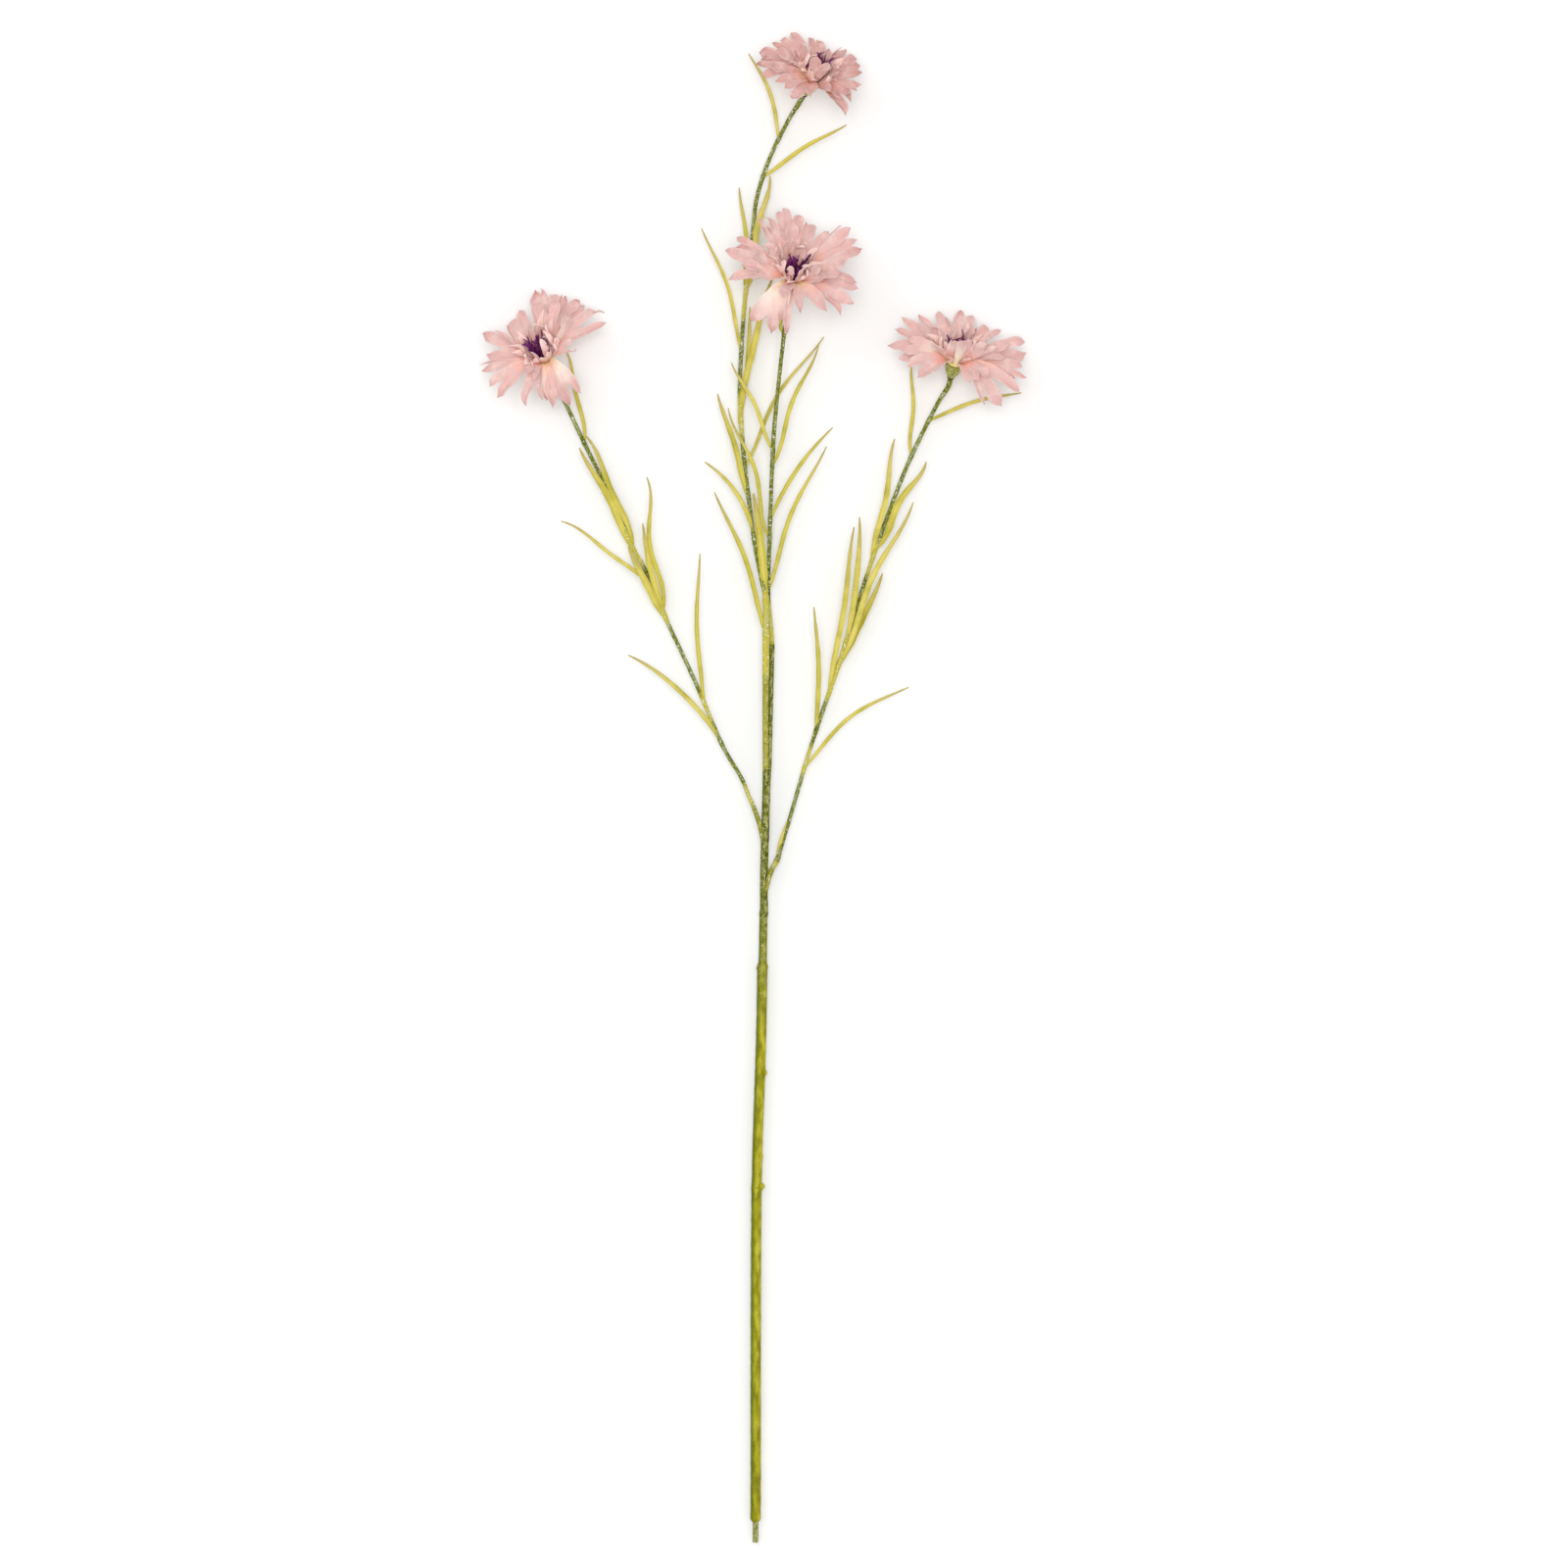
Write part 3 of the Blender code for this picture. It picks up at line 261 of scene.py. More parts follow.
# Blooms: middle of the ring, the way the bloom looks, and the large florets. Each floret has the rise
# of its rim from the ring, how far up its lobes part, and each lobe's tip from the ring
# (across, along) with its width.
BLOOMS = {
    "left": {
        "ring": (-85.6, 176.0, 17.0),
        "axis": (-0.31, 0.70, 0.64),
        "florets": (
            (-8.0, 0.84, ((-3.8, 27.2, 5.0), (-0.8, 29.4, 1.0), (4.6, 26.8, 5.0))),
            (-1.0, 0.77, ((-2.0, 22.8, 4.8), (5.2, 23.4, 4.8))),
            (-6.0, 0.73, ((7.2, 25.6, 2.6), (9.6, 24.4, 3.4))),
            (-7.0, 0.75, ((13.6, 23.0, 4.8), (16.8, 21.8, 3.8), (24.4, 20.4, 0.9))),
            (-2.0, 0.65, ((20.8, 19.8, 3.8), (25.4, 13.4, 4.6))),
            (9.0, 0.63, ((12.0, 18.2, 4.6),)),
            (9.0, 0.73, ((12.0, 6.4, 3.4), (13.8, 2.2, 0.9))),
            (6.0, 0.73, ((15.8, -14.2, 4.4), (10.8, -19.6, 4.8), (4.2, -21.0, 5.2))),
            (8.0, 0.68, ((7.2, -17.0, 3.8), (1.6, -17.8, 3.6))),
            (10.0, 0.68, ((-7.2, -20.0, 4.8), (-1.2, -17.4, 3.6))),
            (14.0, 0.63, ((-7.2, -7.8, 4.4), (-3.6, -8.8, 3.2))),
            (7.0, 0.73, ((-19.0, -16.4, 5.0), (-22.2, -11.6, 4.6))),
            (4.0, 0.65, ((-25.2, -5.6, 4.2), (-26.2, -3.0, 1.2))),
            (0.0, 0.73, ((-23.6, 0.6, 4.8), (-25.2, 9.0, 4.8))),
            (7.0, 0.63, ((-18.4, 10.6, 2.8), (-15.6, 12.6, 3.0))),
            (-7.0, 0.79, ((-14.2, 16.2, 5.2), (-10.2, 19.8, 4.8))),
            (-16.6, 0.73, ((-1.8, 16.2, 4.4), (2.0, 16.8, 4.4), (5.8, 16.0, 4.4))),
        ),
    },
    "right": {
        "ring": (82.4, 175.2, 17.0),
        "axis": (0.22, 0.81, 0.54),
        "florets": (
            (-12.0, 0.75, ((-4.7, 18.2, 3.8), (1.3, 19.9, 4.8), (6.8, 18.9, 4.2))),
            (-9.0, 0.71, ((-14.9, 18.6, 3.6), (-7.9, 20.6, 3.6))),
            (2.0, 0.68, ((-15.1, 14.6, 3.8), (-9.5, 14.0, 4.0))),
            (-4.0, 0.73, ((-24.7, 11.2, 4.4), (-21.8, 16.3, 3.6))),
            (2.0, 0.68, ((-27.9, 5.2, 4.6), (-23.5, 0.0, 4.4))),
            (8.0, 0.65, ((-19.2, 8.0, 3.8), (-21.8, 3.5, 4.8))),
            (12.0, 0.73, ((-19.8, -2.9, 5.0), (-15.8, -7.8, 5.4), (-9.0, -6.5, 1.0))),
            (14.5, 0.73, ((-8.7, 5.4, 5.0), (-1.3, 6.9, 4.0))),
            (15.5, 0.73, ((3.2, 7.2, 4.8),)),
            (13.5, 0.73, ((6.6, 6.7, 4.0), (12.2, 5.8, 5.0), (16.2, 3.7, 4.4))),
            (12.0, 0.75, ((5.3, -9.3, 4.6), (9.0, -8.6, 3.6), (13.4, -7.6, 5.0))),
            (6.0, 0.68, ((11.5, -18.7, 2.8), (18.3, -19.5, 5.6), (25.0, -14.0, 4.8))),
            (3.0, 0.75, ((24.3, -8.2, 3.8), (29.0, -7.6, 2.8), (27.3, -3.3, 3.2))),
            (-2.0, 0.73, ((29.4, 1.4, 5.0), (28.8, 7.6, 4.8))),
            (6.0, 0.73, ((21.3, 6.1, 4.4), (19.7, 1.8, 4.4))),
            (-9.0, 0.73, ((13.9, 13.7, 5.0), (18.8, 12.7, 3.4))),
            (3.0, 0.73, ((6.4, 13.3, 3.8), (8.9, 13.6, 1.2))),
            (-16.6, 0.73, ((0.6, 9.4, 4.2), (4.4, 9.8, 4.2), (8.0, 9.2, 4.2))),
        ),
    },
    "centre": {
        "ring": (16.0, 208.4, 26.0),
        "axis": (0.15, 0.69, 0.71),
        "florets": (
            (-7.0, 0.83, ((-5.6, 27.2, 4.0), (-3.0, 29.6, 3.4), (2.2, 25.8, 4.8))),
            (-3.0, 0.73, ((-11.4, 21.2, 4.4), (-9.8, 25.8, 5.0), (-3.8, 21.0, 4.4))),
            (4.0, 0.73, ((-0.2, 21.8, 5.4), (4.4, 22.0, 1.0))),
            (-6.0, 0.68, ((5.8, 23.2, 3.2), (8.8, 22.8, 4.8), (14.4, 18.8, 5.2))),
            (-9.0, 0.73, ((15.8, 16.6, 4.6), (19.4, 21.6, 0.9))),
            (1.0, 0.73, ((23.6, 19.8, 5.6), (26.0, 15.6, 4.4), (28.0, 11.8, 5.0))),
            (9.0, 0.68, ((23.8, 9.2, 4.8), (21.8, 5.2, 4.8), (19.6, 1.4, 4.4))),
            (8.0, 0.73, ((25.8, -1.8, 4.2), (26.6, -5.2, 4.8))),
            (8.0, 0.65, ((24.0, -12.4, 5.2), (20.0, -15.2, 4.2))),
            (12.0, 0.63, ((13.0, -14.4, 5.6), (2.8, -15.2, 4.2))),
            (7.0, 0.81, ((-17.0, -18.6, 5.6), (-9.2, -23.0, 5.6), (-5.0, -18.5, 3.6))),
            (9.0, 0.63, ((-3.6, -23.6, 3.4),)),
            (14.5, 0.63, ((-4.4, -8.6, 4.2), (-1.4, -7.4, 3.0))),
            (12.0, 0.68, ((-17.2, -2.0, 4.4), (-20.4, 4.0, 5.0))),
            (2.0, 0.68, ((-26.6, -0.6, 4.6), (-27.2, 9.2, 5.2))),
            (-3.0, 0.73, ((-22.4, 12.4, 5.2), (-23.6, 16.4, 3.6))),
            (-3.0, 0.73, ((-14.8, 24.0, 2.8),)),
            (10.0, 0.73, ((-16.0, 9.5, 5.2), (-11.5, 12.5, 4.8))),
            (14.0, 0.73, ((11.0, 3.5, 4.6), (14.0, -0.5, 4.6))),
            (-17.0, 0.73, ((-0.5, 17.0, 4.2), (4.5, 17.0, 4.2))),
        ),
    },
    "top": {
        "ring": (24.1, 289.8, 18.0),
        "axis": (0.41, 0.70, 0.58),
        "florets": (
            (-7.0, 0.75, ((-16.4, 14.6, 4.2), (-13.9, 17.8, 3.8), (-8.7, 19.4, 4.6))),
            (2.0, 0.79, ((-21.6, 10.8, 5.2), (-20.8, 7.0, 4.8))),
            (6.0, 0.73, ((-23.1, 4.8, 3.2), (-20.9, 1.6, 4.6))),
            (10.0, 0.68, ((-14.1, 11.2, 4.4), (-9.5, 6.4, 4.4))),
            (13.0, 0.68, ((-18.0, 3.6, 4.6),)),
            (13.0, 0.75, ((-14.9, -2.2, 5.0), (-11.7, -5.0, 4.4))),
            (13.0, 0.75, ((-8.1, -9.8, 5.8), (-1.3, -8.2, 5.2))),
            (7.0, 0.63, ((-8.5, 11.9, 3.8), (-4.7, 13.5, 5.0))),
            (8.0, 0.63, ((15.9, -9.6, 3.6), (13.7, -15.0, 5.0))),
            (11.0, 0.73, ((18.0, -4.8, 4.0), (15.9, -7.2, 4.4), (12.1, -8.8, 4.0))),
            (5.0, 0.65, ((20.7, 1.8, 4.0), (19.5, -2.6, 3.4))),
            (-3.0, 0.75, ((18.1, 9.0, 5.0), (19.2, 6.0, 4.4))),
            (-11.0, 0.75, ((10.5, 12.6, 1.0), (13.7, 12.8, 5.2))),
            (-10.0, 0.71, ((-0.7, 18.2, 3.4), (3.5, 16.6, 5.0))),
            (3.0, 0.73, ((6.3, 12.0, 4.8), (10.7, 9.8, 4.4))),
            (16.0, 0.68, ((1.7, 7.4, 5.2), (5.9, 4.4, 4.6))),
            (14.0, 0.68, ((8.1, -6.8, 5.0), (11.9, 2.5, 4.0))),
            (-16.0, 0.73, ((2.4, 7.4, 4.2), (8.2, 6.6, 4.2))),
        ),
    },
}


# How far the cream of the throat runs out on each large floret, from 0 to 1.
CREAM = {
    "left": (0.3, 0.2, 0.3, 0.3, 0.4, 0.8, 0.5, 0.9, 0.7, 0.4, 0.1, 0.2, 0.2, 0.2, 0.2, 0.4, 0.3),
    "right": (0.3, 0.5, 0.8, 0.3, 0.4, 0.8, 0.4, 0.5, 0.9, 0.5, 0.4, 0.4, 0.2, 0.3, 0.3, 0.2, 0.2, 0.3),
    "centre": (
        0.3, 0.6, 0.3, 0.5, 0.4, 0.4, 0.8, 0.3, 0.5, 0.6, 1.0, 0.4, 0.2, 0.3, 0.1, 0.2, 0.3, 0.3, 0.4, 0.3,
    ),
    "top": (0.2, 0.1, 0.3, 0.5, 0.5, 0.5, 0.4, 0.3, 0.2, 0.3, 0.2, 0.2, 0.2, 0.4, 0.3, 0.4, 0.3, 0.3),
}

# Curled tongues round the stamens: the tip from the ring (across, along, up) and the width.
TONGUES = {
    "left": (
        (-1.0, 7.0, 11.8, 3.4), (-4.4, 2.6, 8.8, 2.8), (-8.6, 0.6, 7.0, 2.6), (-11.6, 6.0, 7.0, 3.0),
        (-12.0, 2.6, 5.5, 3.0), (3.0, 4.0, 8.0, 3.0), (0.8, 12.8, 9.0, 3.2), (3.2, 10.6, 9.5, 2.6),
        (-3.2, 15.4, 5.0, 3.6), (0.4, 15.8, 4.5, 3.4), (3.4, 15.2, 4.5, 3.2), (6.4, 8.0, 8.0, 3.6),
        (-7.4, 13.4, 5.0, 3.4), (6.6, 4.2, 7.0, 3.0), (-10.0, 10.0, 5.5, 3.0),
    ),
    "right": (
        (-4.7, 7.0, 9.0, 3.2), (-1.6, 12.4, 4.6, 3.4), (1.8, 13.0, 2.0, 3.4), (5.2, 12.6, 2.6, 3.2),
        (-5.6, 11.4, 7.0, 3.4), (8.4, 10.0, 5.4, 3.2), (-7.6, 8.6, 8.0, 2.8), (9.6, 6.6, 9.0, 3.0),
        (5.0, 4.0, 8.4, 2.2), (-9.8, 11.0, 4.0, 3.0), (11.6, 9.4, 5.0, 3.2),
    ),
    "centre": (
        (-4.6, 5.6, 11.0, 3.8), (-0.6, 4.0, 11.4, 3.2), (4.6, 6.2, 13.0, 3.6), (8.0, 6.8, 10.5, 3.0),
        (10.4, 3.2, 9.0, 4.8), (-7.0, 8.4, 10.0, 3.2), (-5.6, 13.4, 7.0, 3.4), (-3.0, 14.8, 6.5, 3.2),
        (-0.2, 15.4, 6.0, 3.4), (2.8, 15.2, 6.0, 3.2), (5.6, 14.2, 6.5, 3.2), (7.8, 11.4, 8.0, 3.0),
        (-9.0, 11.6, 6.0, 3.4), (10.0, 12.4, 6.0, 3.4), (-2.4, 0.4, 9.0, 2.6), (3.2, 0.6, 9.0, 2.6),
    ),
    "top": (
        (-2.9, 9.6, 8.0, 4.2), (3.5, 8.6, 1.0, 3.4), (6.3, 7.0, 0.6, 3.2), (9.1, 7.0, 4.2, 3.2),
        (11.5, 3.6, 7.0, 3.0), (-5.6, 6.0, 9.0, 3.4), (0.6, 10.6, 3.6, 3.2), (-1.0, 5.0, 12.0, 2.2),
        (-7.0, 10.0, 4.0, 3.2), (12.4, 8.0, 3.0, 3.2),
    ),
}


# ---------------------------------------------------------------- places


def design_shift():
    """From the part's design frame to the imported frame, read off the wire end."""
    low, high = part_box("core_wire")
    foot = MAIN_ROUTE[0]
    drop = WIRE_RADIUS * math.cos(math.pi / WIRE_SIDES)
    return Vector((
        (low[0] + high[0]) / 2 - foot[0] * MM,
        low[1] - (foot[1] - WIRE_BARE) * MM,
        low[2] - (foot[2] - drop) * MM,
    ))


SHIFT = design_shift()
GROUND = -SHIFT.z / MM


def home(point):
    """A design point in millimetres, in the scene's metres."""
    return point * MM + SHIFT


def ease(value):
    """Smooth step from 0 to 1."""
    value = min(max(value, 0.0), 1.0)
    return value * value * (3 - 2 * value)


def bloom_frame(name):
    """Ring middle and the unit vector the bloom looks along."""
    return Vector(BLOOMS[name]["ring"]), Vector(BLOOMS[name]["axis"]).normalized()


def branch_route(name):
    """The listed branch line, carried on to the foot of its cup."""
    ring, axis = bloom_frame(name)
    foot = ring + axis * (CUP_BOTTOM - GAP)
    knee = foot - axis * CUP_KNEE
    return BRANCH_ROUTES[name] + ((*knee, BRANCH_RADIUS), (*foot, BRANCH_RADIUS))


def smooth_route(points, step):
    """A smooth line through given points, as (place, radius) stations."""
    stations = []
    rows = [Vector(point[:3]) for point in points]
    for index in range(len(points) - 1):
        before = rows[max(index - 1, 0)]
        start, end = rows[index], rows[index + 1]
        after = rows[min(index + 2, len(rows) - 1)]
        pieces = max(1, round((end - start).length / step))
        for piece in range(pieces):
            t = piece / pieces
            bend = (end - before) * 0.5 if index else end - start
            leave = (after - start) * 0.5 if index + 2 < len(rows) else end - start
            place = (
                start * (2 * t ** 3 - 3 * t ** 2 + 1)
                + bend * (t ** 3 - 2 * t ** 2 + t)
                + end * (3 * t ** 2 - 2 * t ** 3)
                + leave * (t ** 3 - t ** 2)
            )
            radius = points[index][3] * (1 - t) + points[index + 1][3] * t
            stations.append((place, radius))
    stations.append((rows[-1], points[-1][3]))
    return stations


def plan_distance(stations):
    """Distance along a route as seen from above, at each station."""
    travelled = [0.0]
    for (start, _), (end, _) in zip(stations, stations[1:]):
        travelled.append(travelled[-1] + math.hypot(end.x - start.x, end.y - start.y))
    return travelled


def along_route(stations, travelled, distance):
    """Place and heading at a distance along a route."""
    index = max(i for i, mark in enumerate(travelled[:-1]) if mark <= distance)
    share = (distance - travelled[index]) / (travelled[index + 1] - travelled[index])
    start, end = stations[index][0], stations[index + 1][0]
    return start.lerp(end, min(share, 1.0)), (end - start).normalized()


# ---------------------------------------------------------------- mesh tools


def put(item):
    """Put an object in the scene."""
    bpy.context.scene.collection.objects.link(item)
    return item


class Skin:
    """Closed shells gathered for one piece, with four surface notes at each point.

    The notes are the share along a piece, the share across or round it, a tint of its own, and a fourth:
    how free a lobe is, how broad a leaf is, how far along a stem, or 1 on a cup's foot ring.
    """

    def __init__(self):
        self.points = []
        self.faces = []
        self.notes = []

    def add(self, points, faces, notes):
        first = len(self.points)
        self.points += points
        self.faces += [tuple(first + corner for corner in face) for face in faces]
        self.notes += notes

    def piece(self, name, material, slot, nodes, sharp=55):
        """Make the mesh object, with its material, body and the nodes it stands for; the slot is not used.
        """
        mesh = bpy.data.meshes.new(name)
        mesh.from_pydata([tuple(home(point)) for point in self.points], [], self.faces)
        layer = mesh.attributes.new("note", "FLOAT_COLOR", "POINT")
        layer.data.foreach_set("color", [value for note in self.notes for value in note])
        mesh.shade_smooth()
        mesh.set_sharp_from_angle(angle=math.radians(sharp))
        mesh.materials.append(material)
        item = put(bpy.data.objects.new(name, mesh))
        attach(item, BODY)
        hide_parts(*nodes)


def add_sheet(skin, points, faces, notes, thickness):
    """A closed sheet of even thickness round an open surface of quads."""
    normals = [Vector() for _ in points]
    edges = set()
    for face in faces:
        a, b, c, d = (points[corner] for corner in face)
        normal = (c - a).cross(d - b)
        for corner, other in zip(face, face[1:] + face[:1]):
            normals[corner] += normal
            edges.add((corner, other))
    count = len(points)
    offsets = [normal.normalized() * (thickness / 2) for normal in normals]
    shell = [p + o for p, o in zip(points, offsets)] + [p - o for p, o in zip(points, offsets)]
    skin_faces = [tuple(face) for face in faces]
    skin_faces += [tuple(corner + count for corner in reversed(face)) for face in faces]
    skin_faces += [(b, a, a + count, b + count) for a, b in edges if (b, a) not in edges]
    skin.add(shell, skin_faces, notes + notes)


def grid_faces(rows, columns):
    """Quads of a grid of points, row by row."""
    faces = []
    for row in range(rows - 1):
        for column in range(columns - 1):
            corner = row * columns + column
            faces.append((corner, corner + 1, corner + columns + 1, corner + columns))
    return faces


def ring_faces(rings, sides, mirrored=False):
    """Quads between rings of points and a face over each end; mirrored for rings that run the other way."""
    faces = []
    for ring in range(rings - 1):
        for side in range(sides):
            here = ring * sides + side
            beside = ring * sides + (side + 1) % sides
            if mirrored:
                faces.append((here, here + sides, beside + sides, beside))
            else:
                faces.append((here, beside, beside + sides, here + sides))
    first = tuple(range(sides))
    last = tuple(range((rings - 1) * sides, rings * sides))
    faces.append(first if mirrored else first[::-1])
    faces.append(last[::-1] if mirrored else last)
    return faces


def add_tube(skin, stations, sides, note, rough=0.0):
    """A closed tube through (place, radius) stations; note(share, turn) gives the surface notes."""
    points = []
    notes = []
    last = len(stations) - 1
    for index, (place, radius) in enumerate(stations):
        ahead = stations[min(index + 1, last)][0]
        behind = stations[max(index - 1, 0)][0]
        along = (ahead - behind).normalized()
        across = along.cross(Vector((0, 0, 1)))
        across = across.normalized() if across.length > 1e-6 else Vector((1, 0, 0))
        above = across.cross(along)
        for side in range(sides):
            angle = math.tau * side / sides
            way = across * math.cos(angle) + above * math.sin(angle)
            lump = rough * noise.noise((place + way * radius) * 0.55) if rough else 0.0
            points.append(place + way * (radius + lump))
            notes.append(note(index / last, side / sides))
    skin.add(points, ring_faces(last + 1, sides, mirrored=True), notes)


# ---------------------------------------------------------------- florets


def lay_floret(ring, axis, tips):
    """Middle lines of a floret's lobes, side by side, and the widths of the lobes."""
    reach = sum((tip for tip, _ in tips), Vector()) / len(tips)
    size = reach.length
    radial = (reach - axis * reach.dot(axis)).normalized()
    side = axis.cross(radial)
    tips = sorted(tips, key=lambda row: math.atan2(row[0].dot(side), row[0].dot(radial)))
    last = len(tips) - 1
    start = ring + radial * 2.3 - axis * 1.4
    middle = ring + radial * (3.2 + 0.22 * size) + axis * (0.22 * size)
    turning = math.radians(SIDE_TURN * reach.x / size) * (0.4 if last else 1.0)

    def line(lobe, t):
        """Place, sideways way and upward way of a lobe's middle, a share t along it."""
        own = tips[lobe][0] - reach
        root = start + side * (CLAW * (2 * lobe - last) / (last + 1))
        bend = middle + own * 0.42
        tip = ring + tips[lobe][0]
        place = root * (1 - t) ** 2 + bend * (2 * t * (1 - t)) + tip * t ** 2
        along = ((bend - root) * (1 - t) + (tip - bend) * t).normalized()
        across = side
        if last:
            gap = tips[min(lobe + 1, last)][0] - tips[max(lobe - 1, 0)][0]
            gap -= along * gap.dot(along)
            across = side * (1 - 0.6 * t) + gap.normalized() * (0.6 * t)
        face = along.cross(Matrix.Rotation(turning * t, 3, along) @ across).normalized()
        return place, face.cross(along), face

    return line, [width for _, width in tips]


def blade(s, start, point):
    """Half width of a free lobe as a share of its widest; it closes from the share start on."""
    close = max(0.0, (min(s, 1.0) - start) / (1 - start))
    return (0.82 + 0.18 * ease(s / 0.55)) * (1 - close ** 2.6) ** point


def add_floret(skin, ring, axis, notch, tips, tint, chance, curl=1.0):
    """A fabric floret: a claw that opens into a pleated fan, cut into curling pointed lobes."""
    line, widths = lay_floret(ring, axis, tips)
    count = len(widths)
    rows, columns = FLORET_ROWS, LOBE_COLUMNS
    size = (sum((tip for tip, _ in tips), Vector()) / count).length
    cuts = [notch + chance.uniform(-0.06, 0.06) for _ in range(count + 1)]
    shares = [1 - (1 - row / rows) ** 1.5 for row in range(rows + 1)]
    stops = [sum(share < cut for share in shares) for cut in cuts]
    habits = []
    for width in widths:
        wisp = width < WISP
        habits.append({
            "lift": chance.uniform(-0.05, 0.05) * curl,
            "tip": chance.uniform(-0.5, 0.4) * curl,
            "cup": chance.uniform(-0.08, 0.16),
            "roll": chance.uniform(-0.15, 0.45),
            "sway": chance.uniform(-0.35, 0.35),
            "twist": chance.choice((0.3, 0.5, 0.8)) * chance.uniform(-1.0, 1.0),
            "fold": (
                chance.uniform(-0.3, 0.6),
                chance.uniform(-0.3, 0.6) + (0.6 if chance.random() < 0.2 else 0.0),
            ),
            "start": 0.1 if wisp else chance.choice((0.2, 0.35, 0.5)),
            "skew": chance.uniform(-0.22, 0.22),
            "point": 1.2 if wisp else chance.choice((0.5, 0.6, 0.75, 0.95)),
            "phase": chance.uniform(0, 6.28),
        })
    points, notes, keys = [], [], {}

    def edge(lobe, k, t, centre, across):
        """The edge of a lobe on its side k, -1 or 1: shared below the notch, its own above."""
        cut = cuts[lobe + (1 if k > 0 else 0)]
        half = widths[lobe] / 2
        s = (t - cut) / (1 - cut)
        habit = habits[lobe]
        own = half * 0.82
        if s > 0:
            own = half * max(BLUNT, blade(s, habit["start"] + habit["skew"] * k, habit["point"]))
        own *= 1 + 0.05 * math.sin(12 * t + habit["phase"]) + 0.04 * math.sin(31 * t * k + habit["phase"])
        beside = lobe + k
        if beside < 0 or beside >= count:
            if s <= 0:
                own = CLAW / count + (own - CLAW / count) * ease(t / cut)
            return centre + across * (k * own)
        shared = (centre + line(beside, t)[0]) / 2
        return shared.lerp(centre + across * (k * own), ease((t - cut) / 0.14))

    def corner(lobe, column, row):
        if column == 0 and lobe > 0 and row <= stops[lobe]:
            lobe, column = lobe - 1, columns
        key = (lobe, column, row)
        if key not in keys:
            habit = habits[lobe]
            t = shares[row]
            u = 2 * column / columns - 1
            centre, across, face = line(lobe, t)
            s = max(0.0, (t - notch) / (1 - notch))
            twist = habit["twist"] * s
            across, face = (
                across * math.cos(twist) + face * math.sin(twist),
                face * math.cos(twist) - across * math.sin(twist),
            )
            rim = edge(lobe, -1 if u < 0 else 1, t, centre, across)
            fold = habit["fold"][0 if u < 0 else 1] * ease(s * 1.6)
            opened = ease(t * 2.2)
            spread = (lobe + 0.5 + u / 2) / count * 2 - 1
            full = (line(count - 1, t)[0] - line(0, t)[0]).length / 2 + widths[lobe] / 2 * opened
            rise = full * (0.42 * (1 - t) + 0.12 * t) * spread ** 2
            rise += widths[lobe] * habit["cup"] * u * u * s + (rim - centre).length * abs(u) * math.sin(fold)
            rise += 0.12 * math.cos(math.pi * 3 * u + habit["phase"] * 0.3) * opened * (1 - 0.6 * s)
            rise -= 0.22 * math.exp(-(u / 0.24) ** 2) * opened * (0.25 + 0.75 * ease(s * 3))
            rise += habit["roll"] * max(0.0, (abs(u) - 0.5) / 0.5) ** 2 * ease(s * 4)
            rise += 0.16 * math.sin(t * size * 0.9 + habit["phase"]) * abs(u) ** 3 * opened
            rise += size * (habit["lift"] * s * s + habit["tip"] * max(0.0, s - 0.5) ** 2)
            rise += 0.22 * s * (1 if lobe % 2 else -1)
            keys[key] = len(points)
            place = centre.lerp(rim, abs(u) * math.cos(fold))
            place -= across.cross(face) * (0.14 * widths[lobe] * u * u * s ** 5)
            place += across * (habit["sway"] * s * s) + face * rise
            place.z = max(place.z, GROUND + FABRIC)
            points.append(place)
            notes.append((t, column / columns, tint, s))
        return keys[key]

    faces = []
    for lobe in range(count):
        for row in range(rows):
            for column in range(columns):
                faces.append((
                    corner(lobe, column, row),
                    corner(lobe, column + 1, row),
                    corner(lobe, column + 1, row + 1),
                    corner(lobe, column, row + 1),
                ))
    add_sheet(skin, points, faces, notes, FABRIC)


def add_curl(skin, ring, axis, radial, lean, height, width, roll, root, chance):
    """One small curled tongue of the inner ring."""
    side = axis.cross(radial)
    place = ring + radial * root - axis * 0.6
    points, notes = [], []
    tint = chance.random()
    twist = chance.uniform(-0.7, 0.7)
    for row in range(CURL_ROWS + 1):
        s = row / CURL_ROWS
        turn = math.radians(lean) + math.radians(roll) * ease((s - 0.35) / 0.65)
        along = axis * math.cos(turn) + radial * math.sin(turn)
        face = along.cross(side)
        half = width / 2 * (0.42 + 0.58 * ease(s * 1.5))
        if s > 0.72:
            half *= max(0.12, math.sqrt(max(0.0, 1 - ((s - 0.72) / 0.285) ** 2)))
        across = Matrix.Rotation(twist * s, 3, along) @ side
        for column in range(CURL_COLUMNS + 1):
            x = 2 * column / CURL_COLUMNS - 1
            cup = face * (-0.26 * width * x * x * (0.4 + s) + 0.07 * math.sin(9 * s + tint * 6) * x)
            points.append(place + across * (half * x) + cup)
            notes.append((0.22 + 0.6 * s, column / CURL_COLUMNS, tint, s))
        place = place + along * (height / CURL_ROWS)
    add_sheet(skin, points, grid_faces(CURL_ROWS + 1, CURL_COLUMNS + 1), notes, FABRIC)


